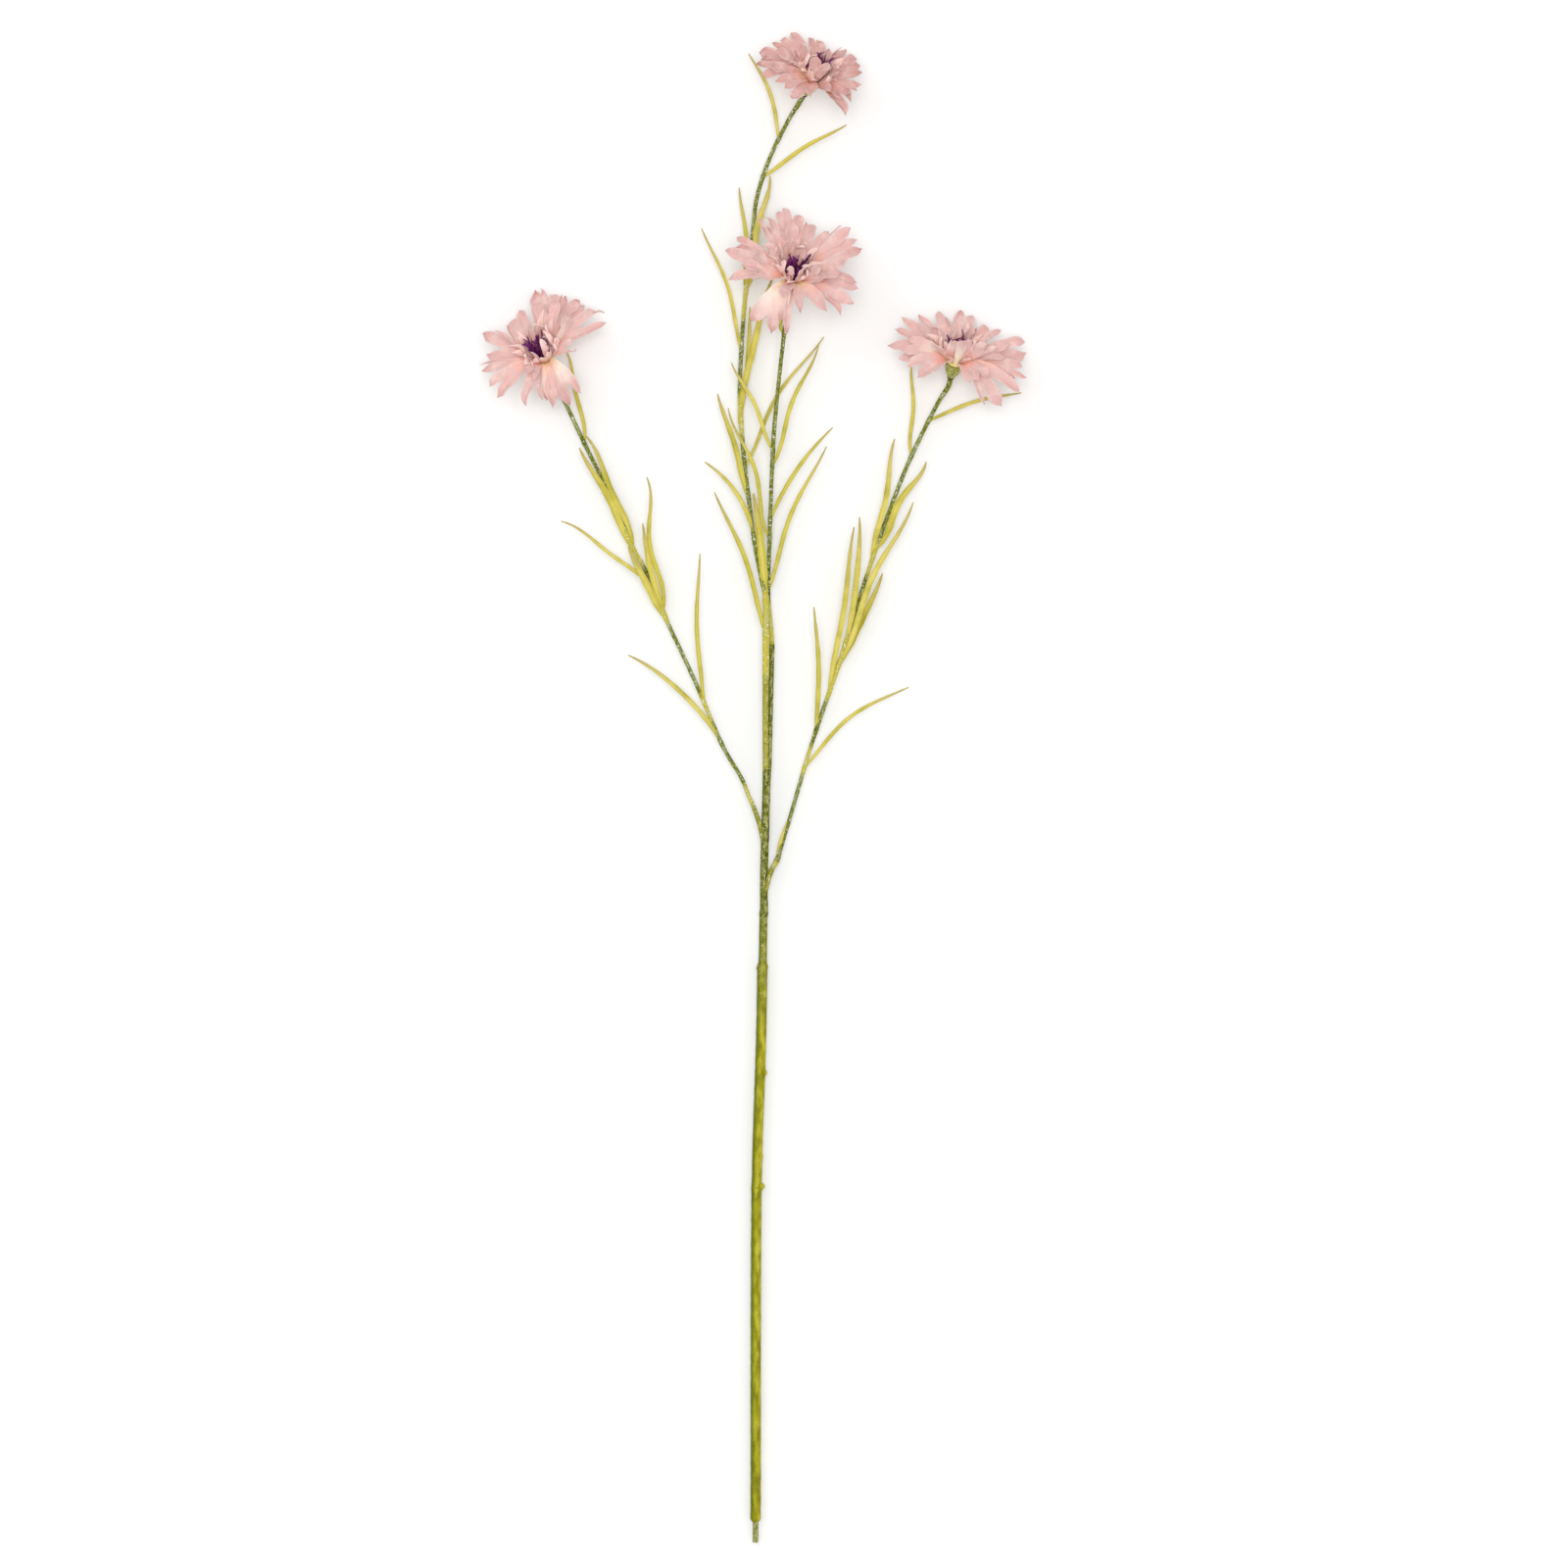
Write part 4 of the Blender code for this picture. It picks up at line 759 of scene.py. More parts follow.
def build_petals(name, material):
    """The large florets of one bloom, and the collar that they grow from."""
    ring, axis = bloom_frame(name)
    chance = random.Random(f"{SEED} fabric {name}")
    skin = Skin()
    for (up, notch, tips), cream in zip(BLOOMS[name]["florets"], CREAM[name]):
        rim = [(Vector((across, along, up)), width) for across, along, width in tips]
        add_floret(skin, ring, axis, notch, rim, cream + chance.uniform(-0.08, 0.08), chance)
    add_turned(skin, ring, axis, COLLAR, TURNED_SIDES, lambda share, turn: (0.12, turn, 0.9, 0.0))
    skin.piece(f"petals_{name}", material, "petal_fabric", ["florets_" + name], sharp=50)


def build_tongues(name, material):
    """The small florets and curled tongues that stand round the stamens of one bloom."""
    ring, axis = bloom_frame(name)
    chance = random.Random(f"{SEED} {name}")
    finer = random.Random(f"{SEED} tongues {name}")
    skin = Skin()
    level = (Vector((1, 0, 0)) - axis * axis.x).normalized()
    for index in range(INNER_FLORETS):
        angle = math.tau * (index + chance.uniform(-0.25, 0.25)) / INNER_FLORETS
        way = Matrix.Rotation(angle, 3, axis) @ level
        reach = way * chance.uniform(8.2, 9.8) + axis * chance.uniform(5.5, 8.0)
        apart = axis.cross(way) * 1.8
        rim = [(reach - apart, 3.2), (reach + apart, 3.2)]
        add_floret(skin, ring, axis, 0.55, rim, finer.uniform(0.1, 0.5), finer, 1.8)
    for across, along, up, width in TONGUES[name]:
        tip = Vector((across, along, up))
        add_floret(skin, ring, axis, 0.5, [(tip, width)], finer.uniform(0.0, 0.4), finer, 2.4)
    for index in range(CURLS):
        angle = math.tau * (index + finer.uniform(-0.3, 0.3)) / CURLS
        way = Matrix.Rotation(angle, 3, axis) @ level
        if way.y < -0.1:
            continue
        add_curl(
            skin, ring, axis, way,
            lean=finer.uniform(12, 34),
            height=finer.uniform(7.5, 10.5),
            width=finer.uniform(1.9, 2.9),
            roll=finer.choice((-60, 30, 55, 80)),
            root=finer.uniform(2.5, 4.4),
            chance=finer,
        )
    skin.piece(f"tongues_{name}", material, "petal_fabric", ["florets_" + name], sharp=50)


# ---------------------------------------------------------------- stamens and cups


def add_strip(skin, route, width, tint):
    """A narrow flat strip with rounded edges along a route, twisting as it goes."""
    points, notes = [], []
    last = len(route) - 1
    for index, (place, twist) in enumerate(route):
        along = (route[min(index + 1, last)][0] - route[max(index - 1, 0)][0]).normalized()
        across = Matrix.Rotation(twist, 3, along) @ along.orthogonal().normalized()
        share = index / last
        half = width / 2 * (0.75 + 0.35 * math.sin(math.pi * share)) * (0.75 if index == last else 1.0)
        above = along.cross(across)
        for side in range(STRIP_SIDES):
            angle = math.tau * side / STRIP_SIDES
            edge = above * (math.sin(angle) * STRIP_SHEET / 2)
            points.append(place + across * (math.cos(angle) * half) + edge)
            notes.append((share, side / STRIP_SIDES, tint, 0.0))
    skin.add(points, ring_faces(last + 1, STRIP_SIDES), notes)


def add_turned(skin, place, axis, profile, sides, note):
    """A turned solid from (height, radius) rows."""
    across = axis.orthogonal().normalized()
    beside = axis.cross(across)
    points, notes = [], []
    last = len(profile) - 1
    for row, (height, radius) in enumerate(profile):
        for side in range(sides):
            angle = math.tau * side / sides
            way = across * math.cos(angle) + beside * math.sin(angle)
            points.append(place + axis * height + way * radius)
            notes.append(note(row / last, side / sides))
    skin.add(points, ring_faces(last + 1, sides), notes)


def build_stamens(name, material):
    """The curled purple strips and the cushion they stand on, dark as painted shade in the throat."""
    ring, axis = bloom_frame(name)
    chance = random.Random(f"{SEED} strips {name}")
    skin = Skin()
    # The cushion takes the darkest maroon tint, 0.9, as painted shade in the throat of the bloom.
    add_turned(skin, ring, axis, CUSHION, CUSHION_SIDES, lambda share, turn: (0.0, turn, 0.9, 0.0))
    level = axis.orthogonal().normalized()
    clumps = [(index * 1.1 + chance.uniform(-0.3, 0.3), chance.uniform(1.6, 4.6)) for index in range(CLUMPS)]
    for index in range(STAMENS):
        turn, spread = clumps[index % CLUMPS]
        if index % 4 == 0:
            turn, spread = chance.uniform(0, 6.28), chance.uniform(0.0, 4.0)
        turn += chance.uniform(-0.35, 0.35)
        spread = max(0.3, spread + chance.uniform(-0.8, 0.8))
        way = Matrix.Rotation(turn, 3, axis) @ level
        height = chance.uniform(6.5, 12.4) - 0.3 * spread
        tip = spread * chance.uniform(1.1, 1.35) * (1 + 0.4 * min(0.0, way.y))
        bow = chance.uniform(-1.2, 1.2)
        hook = chance.uniform(-1.7, 1.7)
        side = axis.cross(way)
        twist = chance.uniform(0, 3)
        turns = chance.uniform(0.6, 2.6)
        route = []
        for step in range(STRIP_STEPS + 1):
            s = step / STRIP_STEPS
            reach = 0.3 + spread * 0.5 + (tip - spread * 0.5) * s ** 1.4
            place = (
                ring + way * (reach + hook * max(0.0, s - 0.7) ** 2 * 12)
                + side * (bow * math.sin(math.pi * s) + hook * max(0.0, s - 0.6) ** 2 * 8)
                + axis * (0.7 + height * s - abs(hook) * max(0.0, s - 0.75) * 1.8)
            )
            route.append((place, twist + s * turns))
        width = chance.choice((0.6, 0.8, 1.1, 1.4)) * chance.uniform(0.85, 1.1)
        add_strip(skin, route, width, chance.random())
    skin.piece(f"strips_{name}", material, "stamen_fabric", ["stamens_" + name])


def cup_radius(height):
    """Radius of the cup's body at a height under the ring."""
    for (low, narrow), (high, wide) in zip(CUP_BODY, CUP_BODY[1:]):
        if height <= high:
            share = (height - low) / (high - low)
            return narrow + (wide - narrow) * share
    return CUP_BODY[-1][1]


def build_cup(name, material):
    """The green cup: a turned body under rows of overlapping pointed scales, and a dark foot ring."""
    ring, axis = bloom_frame(name)
    chance = random.Random(f"{SEED} cup {name}")
    skin = Skin()
    profile = []
    for row in range(CUP_ROWS + 1):
        height = CUP_BOTTOM + (CUP_TOP - CUP_BOTTOM) * row / CUP_ROWS
        profile.append((height, cup_radius(height) - 0.12))
    add_turned(skin, ring, axis, profile, TURNED_SIDES, lambda share, turn: (share, turn, 0.5, 0.0))
    add_turned(skin, ring, axis, CUP_FOOT, FOOT_SIDES, lambda share, turn: (0.0, turn, 0.0, 1.0))
    across = axis.orthogonal().normalized()
    for tier in range(SCALE_TIERS):
        low = SCALE_FOOT + tier * TIER_RISE
        count = 8 if tier < 1 else 9
        for index in range(count):
            turn = math.tau * (index + 0.5 * (tier % 2) + chance.uniform(-0.2, 0.2)) / count
            length = 2.3 + chance.uniform(-0.35, 0.3)
            gape = chance.uniform(0.1, 0.3)
            width = 2.5 * math.pi * max(cup_radius(low + 1), 1.5) / count
            shade = chance.random()
            points, notes = [], []
            for row in range(SCALE_ROWS + 1):
                s = row / SCALE_ROWS
                height = min(low + length * s, CUP_TOP + 0.15)
                radius = cup_radius(height) + 0.02 + gape * ease(s)
                half = width / 2 * max(0.1, (1 - s ** 2.2) ** 0.7)
                for column in range(SCALE_COLUMNS + 1):
                    x = 2 * column / SCALE_COLUMNS - 1
                    angle = turn + half * x / radius
                    way = Matrix.Rotation(angle, 3, axis) @ across
                    points.append(ring + axis * height + way * (radius - 0.1 * x * x))
                    notes.append((s, column / SCALE_COLUMNS, shade, 0.0))
            add_sheet(skin, points, grid_faces(SCALE_ROWS + 1, SCALE_COLUMNS + 1), notes, SCALE_SHEET)
    skin.piece(f"scales_{name}", material, "cup_plastic", ["cup_" + name], sharp=40)


# ---------------------------------------------------------------- stems and leaves


def add_leaf(skin, stations, travelled, row, chance):
    """A narrow strap leaf with a creased middle, thin margins and a drawn-out tip."""
    at, out, curl, wave, length, width, lift, lift_change = row
    place, heading = along_route(stations, travelled, at)
    start = math.atan2(heading.y, heading.x)
    tint = chance.random()
    roll = chance.uniform(-0.35, 0.35)
    wobble = chance.uniform(0, 6.28)
    points, notes = [], []
    for index in range(LEAF_ROWS + 1):
        s = index / LEAF_ROWS
        turn = start + math.radians(out + curl * s + wave * math.sin(math.tau * s))
        rise = math.radians(lift + lift_change * s)
        for (low, narrow), (high, wide) in zip(LEAF_SHAPE, LEAF_SHAPE[1:]):
            if s <= high:
                part = narrow + (wide - narrow) * ease((s - low) / (high - low))
                break
        half = max(width * part, 0.26) / 2 * (1 + 0.05 * math.sin(s * length * 0.7 + wobble))
        side = Vector((-math.sin(turn), math.cos(turn), 0.0))
        along = Vector((math.cos(turn) * math.cos(rise), math.sin(turn) * math.cos(rise), math.sin(rise)))
        side = Matrix.Rotation(roll * math.sin(math.pi * s), 3, along) @ side
        above = along.cross(side)
        for column in range(LEAF_COLUMNS + 1):
            x = 2 * column / LEAF_COLUMNS - 1
            crease = 0.16 * width * (abs(x) ** 1.4 - 0.4) * (1 - 0.4 * s)
            points.append(place + side * (half * x) + above * crease)
            notes.append((s, column / LEAF_COLUMNS, tint, width / 3.2))
        place = place + along * (length / LEAF_ROWS)
    add_sheet(skin, points, grid_faces(LEAF_ROWS + 1, LEAF_COLUMNS + 1), notes, LEAF_SHEET)


def build_leaves(name, material):
    """All the leaves of one branch."""
    stations = smooth_route(branch_route(name), ROUTE_STEP)
    travelled = plan_distance(stations)
    chance = random.Random(f"{SEED} leaves {name}")
    skin = Skin()
    for row in LEAVES[name]:
        add_leaf(skin, stations, travelled, row, chance)
    skin.piece(f"leaves_{name}", material, "leaf_plastic", ["branch_" + name])


# Stretches of a branch that are wrapped in a yellow sheath: start and end along it.
SHEATHS = {
    "left": ((0, 9), (38, 50), (82, 100), (108, 124)),
    "right": ((0, 3), (40, 52), (72, 100), (126, 140)),
    "top": ((0, 36), (100, 116), (148, 166)),
    "centre": ((0, 17),),
}


def build_twig(name, material):
    """The round stem of one branch, with its knots and a flare under the cup."""
    stations = smooth_route(branch_route(name), STEM_STEP)
    travelled = plan_distance(stations)
    total = travelled[-1]
    knots = [row[0] for row in LEAVES[name]]
    swollen = []
    for (place, radius), distance in zip(stations, travelled):
        knot = sum(math.exp(-((distance - mark) / 1.6) ** 2) for mark in knots)
        flare = 0.26 * ease(1 - (total - distance) / 14)
        swollen.append((place, radius + 0.16 * min(knot, 1.3) + flare))
    back = (stations[0][0] - stations[1][0]).normalized()
    swollen[0] = (stations[0][0] + back * (GAP + 0.05), swollen[0][1])

    def note(share, turn):
        distance = travelled[min(round(share * (len(travelled) - 1)), len(travelled) - 1)]
        wrapped = max(
            ease((distance - low) / 2.5 + 0.5) * ease((high - distance) / 2.5 + 0.5)
            for low, high in SHEATHS[name]
        )
        return (distance / 300, turn, wrapped, share)

    skin = Skin()
    add_tube(skin, swollen, TWIG_SIDES, note, rough=0.07)
    skin.piece(f"twig_{name}", material, "leaf_plastic", ["branch_" + name])


def build_main_stem(material):
    """The main stem with its joints, buds and short arms."""
    skin = Skin()
    stations = smooth_route(MAIN_ROUTE, STEM_STEP)
    foot, radius = stations[0]
    way = (stations[1][0] - foot).normalized()
    rounded = [
        (foot + way * (1.4 * s), radius * (1 - 0.42 * (1 - s) ** 2))
        for s in (0.0, 0.2, 0.45, 0.7, 1.0)
    ]
    stations = rounded + stations[1:]
    add_tube(skin, stations, STEM_SIDES, lambda share, turn: (share, turn, 0.0, share), rough=0.12)
    for route, tone in zip(ARM_ROUTES, ARM_TONES):
        arm = smooth_route(route, STEM_STEP)
        add_tube(skin, arm, ARM_SIDES, lambda share, turn, tone=tone: (1.0, turn, tone, share), rough=0.08)
    for across, along, height, width, length in BUDS:
        bud = []
        for index in range(BUD_ROWS + 1):
            s = index / BUD_ROWS
            spread = math.sin(math.pi * (0.06 + 0.88 * s))
            bud.append((Vector((across, along + length * (2 * s - 1), height)), width * spread))
        add_tube(skin, bud, BUD_SIDES, lambda share, turn: (0.5, turn, 0.5, share))
    skin.piece("stem", material, "stem_plastic", ["main_stem"])


def build_wire_end(material):
    """The coated end of the wire core."""
    skin = Skin()
    foot = Vector(MAIN_ROUTE[0][:3])
    low = foot - Vector((0.0, WIRE_BARE, 0.0))
    seat = foot + Vector((0.0, COATING_SEATED, 0.0))
    stations = []
    for index in range(COATING_ROWS + 1):
        s = index / COATING_ROWS
        stations.append((low.lerp(seat, s), WIRE_RADIUS * (1 + 0.03 * math.sin(9 * s))))
    add_tube(skin, stations, COATING_SIDES, lambda share, turn: (share, turn, 0.0, share), rough=0.05)
    skin.piece("wire_end", material, "wire_coating", ["core_wire"])


# ---------------------------------------------------------------- materials


BLACK = (0, 0, 0)
WHITE = (1, 1, 1)


class Paint:
    """A principled material and short ways to add nodes to it."""

    def __init__(self, name, roughness):
        self.material = bpy.data.materials.new(name)
        self.material.use_nodes = True
        self.tree = self.material.node_tree
        self.shader = self.tree.nodes["Principled BSDF"]
        self.shader.inputs["Roughness"].default_value = roughness
        self.place = self.node("ShaderNodeTexCoord").outputs["Object"]
        attribute = self.node("ShaderNodeAttribute")
        attribute.attribute_name = "note"
        parts = self.node("ShaderNodeSeparateColor")
        self.link(attribute.outputs["Color"], parts.inputs["Color"])
        self.along, self.across, self.chance = parts.outputs[:3]
        self.extra = attribute.outputs["Alpha"]

    def node(self, kind, **settings):
        made = self.tree.nodes.new(kind)
        for key, value in settings.items():
            setattr(made, key, value)
        return made

    def link(self, source, target):
        self.tree.links.new(source, target)

    def feed(self, socket, value):
        if isinstance(value, bpy.types.NodeSocket):
            self.link(value, socket)
        else:
            socket.default_value = value

    def math(self, operation, *values, clamp=False):
        made = self.node("ShaderNodeMath", operation=operation, use_clamp=clamp)
        for socket, value in zip(made.inputs, values):
            self.feed(socket, value)
        return made.outputs[0]

    def times(self, first, second, clamp=False):
        return self.math("MULTIPLY", first, second, clamp=clamp)

    def noise(self, scale, detail=3.0, rough=0.55, stretch=None):
        made = self.node("ShaderNodeTexNoise")
        made.inputs["Scale"].default_value = scale
        made.inputs["Detail"].default_value = detail
        made.inputs["Roughness"].default_value = rough
        place = self.place
        if stretch:
            mapping = self.node("ShaderNodeMapping")
            mapping.inputs["Scale"].default_value = stretch
            self.link(self.place, mapping.inputs["Vector"])
            place = mapping.outputs["Vector"]
        self.link(place, made.inputs["Vector"])
        return made.outputs["Fac"]

    def fade(self, value, low, high):
        """0 up to the value low, 1 from the value high on."""
        return self.ramp(value, ((low, BLACK), (high, WHITE)))

    def flecks(self, scale, low, high, stretch=None):
        """1 on scattered specks, 0 elsewhere."""
        return self.fade(self.noise(scale, 2.0, 0.6, stretch), low, high)

    def stripes(self, turns, scale, sway):
        """Soft lines along a piece, from 0 to 1: a wave of so many radians across it, swayed by noise."""
        wave = self.math("MULTIPLY_ADD", self.across, turns, self.times(self.noise(scale, 2.0), sway))
        return self.math("MULTIPLY_ADD", self.math("SINE", wave), 0.5, 0.5)

    def rim(self, power):
        """1 on the side edges of a piece and 0 along its middle."""
        off_middle = self.math("ABSOLUTE", self.math("SUBTRACT", self.across, 0.5))
        return self.math("POWER", self.times(off_middle, 2.0), power)

    def ramp(self, value, stops):
        made = self.node("ShaderNodeValToRGB")
        ramp = made.color_ramp
        while len(ramp.elements) < len(stops):
            ramp.elements.new(0.5)
        for element, (position, colour) in zip(ramp.elements, stops):
            element.position = position
            element.color = (*colour, 1.0)
        self.link(value, made.inputs["Fac"])
        return made.outputs["Color"]

    def mix(self, share, first, second):
        made = self.node("ShaderNodeMix", data_type="RGBA")
        self.feed(made.inputs["Factor"], share)
        for socket, value in ((made.inputs[6], first), (made.inputs[7], second)):
            self.feed(socket, value if isinstance(value, bpy.types.NodeSocket) else (*value, 1.0))
        return made.outputs[2]

    def lay(self, mask, weight, base, colour):
        """The base with a colour over it, as much as the mask times the weight."""
        return self.mix(self.times(mask, weight), base, colour)

    def bump(self, height, strength, distance):
        made = self.node("ShaderNodeBump")
        made.inputs["Strength"].default_value = strength
        made.inputs["Distance"].default_value = distance
        self.link(height, made.inputs["Height"])
        self.link(made.outputs["Normal"], self.shader.inputs["Normal"])

    def colour(self, value):
        self.link(value, self.shader.inputs["Base Color"])

    def rough(self, value, low, high):
        made = self.node("ShaderNodeMapRange")
        made.inputs["To Min"].default_value = low
        made.inputs["To Max"].default_value = high
        self.link(value, made.inputs["Value"])
        self.link(made.outputs["Result"], self.shader.inputs["Roughness"])

    def plastic(self, mottle, strength, distance, low, high, shine, ribs=None):
        """Moulded look: a mottle gives its bumps, with ribs if any, and its roughness, from low to high."""
        height = self.math("ADD", ribs, mottle) if ribs else mottle
        self.bump(height, strength, distance)
        self.rough(mottle, low, high)
        self.shader.inputs["Specular IOR Level"].default_value = shine
        return self.material


def petal_paint(name, throat, salmon, pink, deep):
    """Thin woven fabric, salmon to pink, with a cream throat of its own reach on each floret; the inner
    salmon and blush are partly dye and partly painted warm light in the shaded middle.
    """
    paint = Paint(name, 0.8)
    cloud = paint.noise(170.0)
    reach = paint.math("ADD", paint.along, paint.math("MULTIPLY_ADD", cloud, 0.3, -0.15))
    # The salmon near the throat is partly dye and partly painted warm light, brighter and redder where the
    # middle of the bloom lies in shade.
    dye_and_warm_light = paint.ramp(reach, ((0.12, throat), (0.34, salmon), (0.64, pink), (1.0, deep)))
    bleached = paint.ramp(reach, (
        (0.06, (0.80, 0.62, 0.12)), (0.24, (0.86, 0.78, 0.42)),
        (0.46, (0.86, 0.79, 0.66)), (0.95, (0.80, 0.66, 0.61)),
    ))
    spare = paint.math("SUBTRACT", paint.times(paint.chance, 0.95), reach)
    base = paint.mix(paint.fade(spare, 0.0, 0.3), dye_and_warm_light, bleached)
    # Pleat lines: they give the bump, and below the lobe tips they pull the colour towards the deep pink as
    # painted shade in the creases.
    pleats_and_crease_shade = paint.stripes(44.0, 420.0, 7.0)
    tipward = paint.ramp(paint.extra, ((0.6, WHITE), (0.9, BLACK)))
    crease_shaded = paint.mix(paint.times(paint.times(pleats_and_crease_shade, 0.16), tipward), base, deep)
    inward = paint.ramp(paint.along, ((0.08, BLACK), (0.3, WHITE), (0.8, (0.3, 0.3, 0.3))))
    # Salmon blush towards the throat: partly spots of dye, partly painted warm light in the shaded middle.
    blush_and_warm_bounce = paint.times(paint.flecks(190.0, 0.46, 0.62), inward)
    blushed_and_warmed = paint.lay(blush_and_warm_bounce, 0.62, crease_shaded, (0.90, 0.45, 0.37))
    faded = paint.lay(paint.flecks(230.0, 0.5, 0.66), 0.42, blushed_and_warmed, (0.84, 0.67, 0.62))
    loose = paint.times(paint.extra, 5.0, clamp=True)
    rim = paint.times(paint.rim(6.0), loose)
    paint.colour(paint.lay(rim, 0.35, faded, (0.82, 0.67, 0.645)))
    weave = paint.noise(5200.0, 2.0, 0.5)
    paint.bump(paint.math("ADD", paint.times(pleats_and_crease_shade, 0.6), paint.times(weave, 0.4)), 0.3, 0.00015)
    paint.rough(cloud, 0.68, 0.9)
    paint.shader.inputs["Sheen Weight"].default_value = 0.12
    return paint.material


def tongue_paint():
    """Thin pink fabric with pale cut edges, with a painted dark maroon shadow at the foot, where it stands
    against the stamens.
    """
    paint = Paint("petal_tongue", 0.8)
    cloud = paint.noise(260.0)
    # Painted shadow: the foot of each tongue runs dark maroon, where it stands in shade against the stamens.
    base = paint.ramp(paint.math("MULTIPLY_ADD", cloud, 0.3, paint.along), (
        (0.2, (0.25, 0.07, 0.08)), (0.34, (0.76, 0.36, 0.30)),
        (0.6, (0.92, 0.54, 0.48)), (1.1, (0.84, 0.60, 0.56)),
    ))
    warmed = paint.lay(paint.flecks(190.0, 0.48, 0.66), 0.4, base, (0.74, 0.38, 0.26))
    paint.colour(paint.lay(paint.rim(5.0), 0.55, warmed, (0.84, 0.68, 0.62)))
    paint.bump(paint.math("ADD", cloud, paint.noise(5200.0, 2.0, 0.5)), 0.3, 0.00015)
    paint.rough(cloud, 0.68, 0.9)
    return paint.material


def stamen_paint():
    """Dark purple to maroon strips, a little lighter towards their tips."""
    paint = Paint("stamen_purple", 0.7)
    tone = paint.ramp(paint.chance, (
        (0.0, (0.08, 0.003, 0.15)), (0.35, (0.15, 0.006, 0.16)),
        (0.65, (0.17, 0.008, 0.07)), (1.0, (0.07, 0.004, 0.02)),
    ))
    lighter = paint.lay(paint.along, 0.35, tone, (0.34, 0.06, 0.26))
    mottle = paint.noise(1500.0)
    paint.colour(paint.lay(mottle, 0.45, lighter, (0.02, 0.004, 0.03)))
    return paint.plastic(mottle, 0.4, 0.0002, 0.5, 0.8, 0.2)


def cup_paint():
    """Mottled green plastic scales with pale tips, and a dark brown foot ring."""
    paint = Paint("cup_green", 0.55)
    mottle = paint.noise(1100.0, 4.0, 0.65)
    base = paint.ramp(mottle, (
        (0.3, (0.07, 0.085, 0.004)), (0.44, (0.20, 0.22, 0.03)),
        (0.56, (0.40, 0.40, 0.12)), (0.7, (0.66, 0.66, 0.36)),
    ))
    tipped = paint.lay(paint.math("POWER", paint.along, 3.0), 0.55, base, (0.60, 0.56, 0.18))
    paint.colour(paint.mix(paint.extra, tipped, (0.09, 0.05, 0.03)))
    return paint.plastic(mottle, 0.5, 0.00025, 0.42, 0.7, 0.22)


def leaf_paint():
    """Soft yellow-green plastic with pale streaks, tan tips and scattered pale specks painted as glints of
    highlight.
    """
    paint = Paint("leaf_green", 0.5)
    tone = paint.ramp(paint.chance, (
        (0.0, (0.56, 0.47, 0.04)), (0.35, (0.64, 0.53, 0.09)),
        (0.65, (0.50, 0.43, 0.015)), (1.0, (0.62, 0.52, 0.12)),
    ))
    streaks = paint.stripes(10.0, 160.0, 5.0)
    streaked = paint.lay(streaks, 0.4, tone, (0.72, 0.66, 0.29))
    cloud = paint.noise(110.0)
    clouded = paint.lay(paint.fade(cloud, 0.42, 0.66), 0.6, streaked, (0.34, 0.31, 0.008))
    tipped = paint.lay(paint.fade(paint.along, 0.6, 1.0), 0.75, clouded, (0.48, 0.38, 0.14))
    # Pale specks painted as glints of highlight on the plastic.
    paint.colour(paint.lay(paint.flecks(1500.0, 0.69, 0.74), 0.8, tipped, (0.88, 0.86, 0.66)))
    return paint.plastic(cloud, 0.3, 0.0002, 0.4, 0.6, 0.22, streaks)


def twig_paint():
    """Olive and dark green mottled plastic with pale flecks painted as glints of highlight, yellow where a
    sheath wraps it.
    """
    paint = Paint("twig_green", 0.5)
    mottle = paint.noise(1000.0, 4.0, 0.68)
    base = paint.ramp(mottle, (
        (0.32, (0.035, 0.06, 0.004)), (0.45, (0.10, 0.13, 0.006)),
        (0.56, (0.21, 0.22, 0.02)), (0.7, (0.38, 0.38, 0.12)),
    ))
    yellow = paint.mix(mottle, (0.34, 0.31, 0.006), (0.62, 0.54, 0.10))
    wrapped = paint.mix(paint.chance, base, yellow)
    grey = paint.flecks(420.0, 0.5, 0.68, (1.0, 0.45, 1.0))
    greyed = paint.lay(grey, 0.5, wrapped, (0.42, 0.46, 0.26))
    # Pale flecks painted as glints of highlight on the plastic.
    paint.colour(paint.lay(paint.flecks(1300.0, 0.6, 0.66), 0.85, greyed, (0.86, 0.87, 0.74)))
    return paint.plastic(mottle, 0.5, 0.0002, 0.35, 0.65, 0.12)


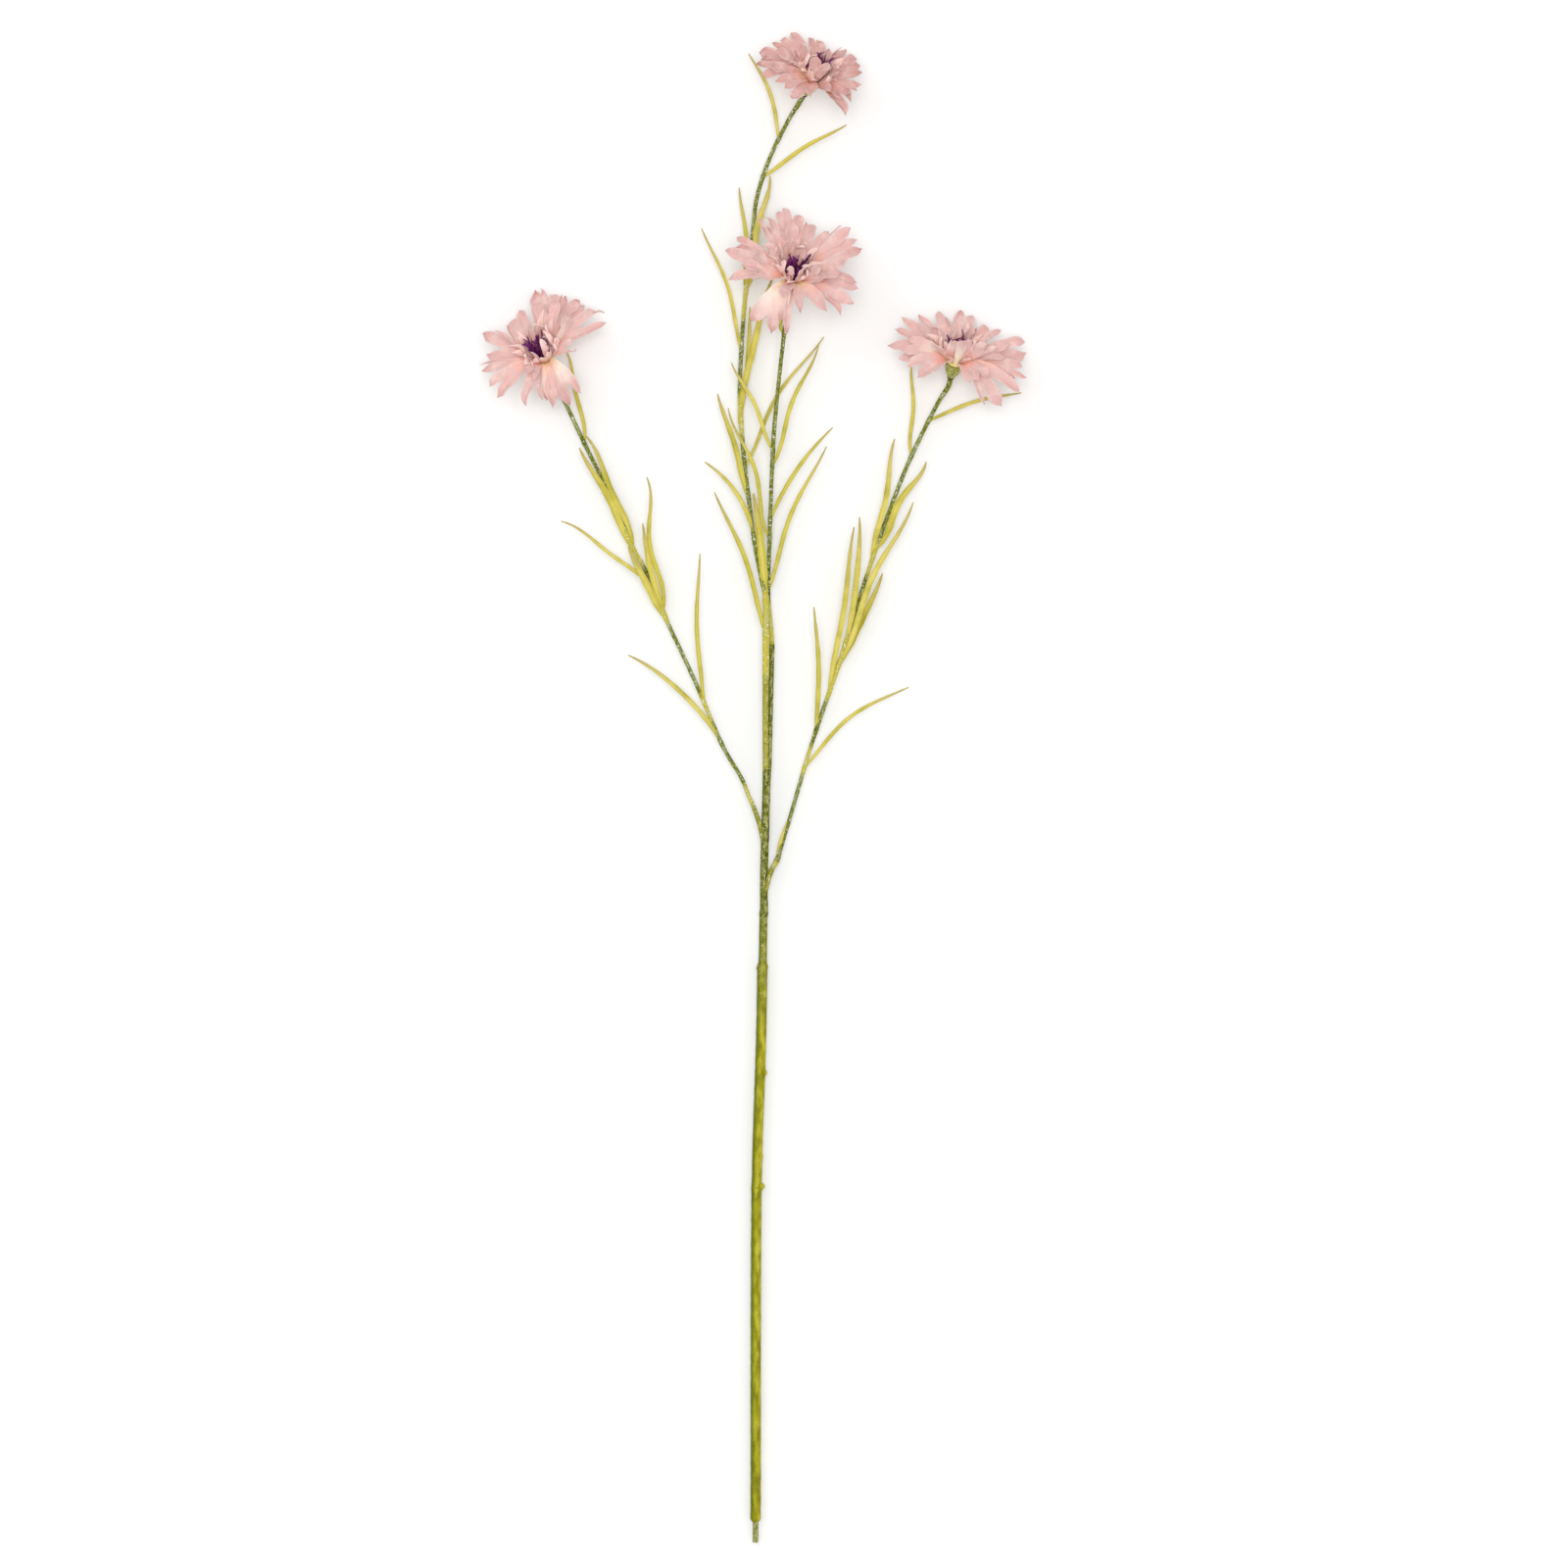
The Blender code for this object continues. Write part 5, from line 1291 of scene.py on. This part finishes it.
def stem_paint():
    """Olive plastic, yellower towards the cut end, with painted shade along its left side and pale flecks
    above painted as glints of highlight.
    """
    paint = Paint("stem_green", 0.5)
    mottle = paint.noise(900.0, 4.0, 0.62, (1.0, 0.4, 1.0))
    smooth = paint.noise(420.0, 3.0, 0.5, (1.0, 0.35, 1.0))
    low = paint.ramp(smooth, (
        (0.34, (0.19, 0.185, 0.0)), (0.5, (0.305, 0.285, 0.0)), (0.66, (0.45, 0.42, 0.03)),
    ))
    high = paint.ramp(mottle, (
        (0.36, (0.035, 0.05, 0.0)), (0.5, (0.135, 0.145, 0.0)), (0.66, (0.43, 0.43, 0.17)),
    ))
    climb = paint.fade(paint.along, 0.66, 0.84)
    base = paint.mix(climb, low, high)
    # Painted shade: the left side of the stem is darkened, the side turned from the light.
    left = paint.ramp(paint.across, ((0.27, BLACK), (0.37, WHITE), (0.6, WHITE), (0.75, BLACK)))
    shaded = paint.lay(left, 0.75, base, (0.085, 0.115, 0.0))
    yellow = paint.mix(paint.chance, shaded, (0.50, 0.44, 0.04))
    # Pale flecks painted as glints of highlight, more of them higher up the stem.
    glint_share = paint.math("MULTIPLY_ADD", climb, 0.72, 0.14)
    paint.colour(paint.lay(paint.flecks(1900.0, 0.6, 0.68), glint_share, yellow, (0.84, 0.82, 0.55)))
    return paint.plastic(mottle, 0.35, 0.0003, 0.35, 0.62, 0.12)


def wire_paint():
    """Thin pale olive coating over the wire."""
    paint = Paint("wire_coat", 0.5)
    mottle = paint.noise(800.0, 4.0, 0.6)
    paint.colour(paint.ramp(mottle, (
        (0.3, (0.10, 0.12, 0.02)), (0.5, (0.26, 0.27, 0.07)), (0.7, (0.46, 0.45, 0.20)),
    )))
    return paint.plastic(mottle, 0.4, 0.0002, 0.4, 0.65, 0.22)


# ---------------------------------------------------------------- stage


def build_stage():
    """A plain pale floor and soft studio light."""
    mesh = bpy.data.meshes.new("floor")
    corners = [
        (x * FLOOR_HALF, y * FLOOR_HALF, -FLOOR_DROP)
        for x, y in ((-1, -1), (1, -1), (1, 1), (-1, 1))
    ]
    mesh.from_pydata(corners, [], [(0, 1, 2, 3)])
    floor = put(bpy.data.objects.new("floor", mesh))
    paint = Paint("floor_pale", 0.9)
    speckle = paint.noise(30.0, 2.0)
    paint.colour(paint.mix(speckle, (0.86, 0.86, 0.86), (0.88, 0.88, 0.88)))
    mesh.materials.append(paint.material)
    world = bpy.data.worlds.new("studio")
    world.use_nodes = True
    sky = world.node_tree.nodes["Background"].inputs
    sky["Color"].default_value = (1.0, 0.995, 0.985, 1.0)
    sky["Strength"].default_value = 0.7
    bpy.context.scene.world = world
    for name, place, size, power in (
        ("key", (-0.9, 0.7, 1.5), 1.1, 4.0),
        ("fill", (1.2, -0.4, 1.4), 1.4, 2.0),
        ("overhead", (0.0, 0.2, 4.4), 1.8, 85.0),
    ):
        light = bpy.data.lights.new(name, "AREA")
        light.size = size
        light.energy = power
        lamp = put(bpy.data.objects.new(name, light))
        lamp.location = place
        lamp.rotation_mode = "QUATERNION"
        lamp.rotation_quaternion = (-Vector(place)).to_track_quat("-Z", "Y")


def build_camera():
    """The photograph's view: straight down from so far off that it has almost no perspective."""
    camera = bpy.data.cameras.new("camera")
    camera.lens = LENS
    camera.sensor_width = SENSOR
    camera.clip_end = 20.0
    view = put(bpy.data.objects.new("camera", camera))
    view.location = home(Vector(VIEW_MIDDLE)) + Vector((0.0, 0.0, VIEW_WIDTH / SENSOR * LENS))
    bpy.context.scene.camera = view


def main():
    """Dress every node of the spray and set the stage."""
    bpy.context.scene.view_settings.view_transform = "Standard"
    pink = petal_paint(
        "petal_pink", (0.93, 0.60, 0.22), (0.92, 0.515, 0.435), (0.715, 0.485, 0.455), (0.67, 0.41, 0.39)
    )
    rose = petal_paint(
        "petal_rose", (0.84, 0.58, 0.14), (0.79, 0.43, 0.36), (0.65, 0.40, 0.37), (0.60, 0.335, 0.305)
    )
    inner = tongue_paint()
    purple = stamen_paint()
    green = cup_paint()
    leafy = leaf_paint()
    woody = twig_paint()
    build_wire_end(wire_paint())
    build_main_stem(stem_paint())
    for name in BLOOMS:
        build_twig(name, woody)
        build_leaves(name, leafy)
        build_cup(name, green)
        build_petals(name, rose if name == "top" else pink)
        build_tongues(name, inner)
        build_stamens(name, purple)
    build_stage()
    build_camera()


main()
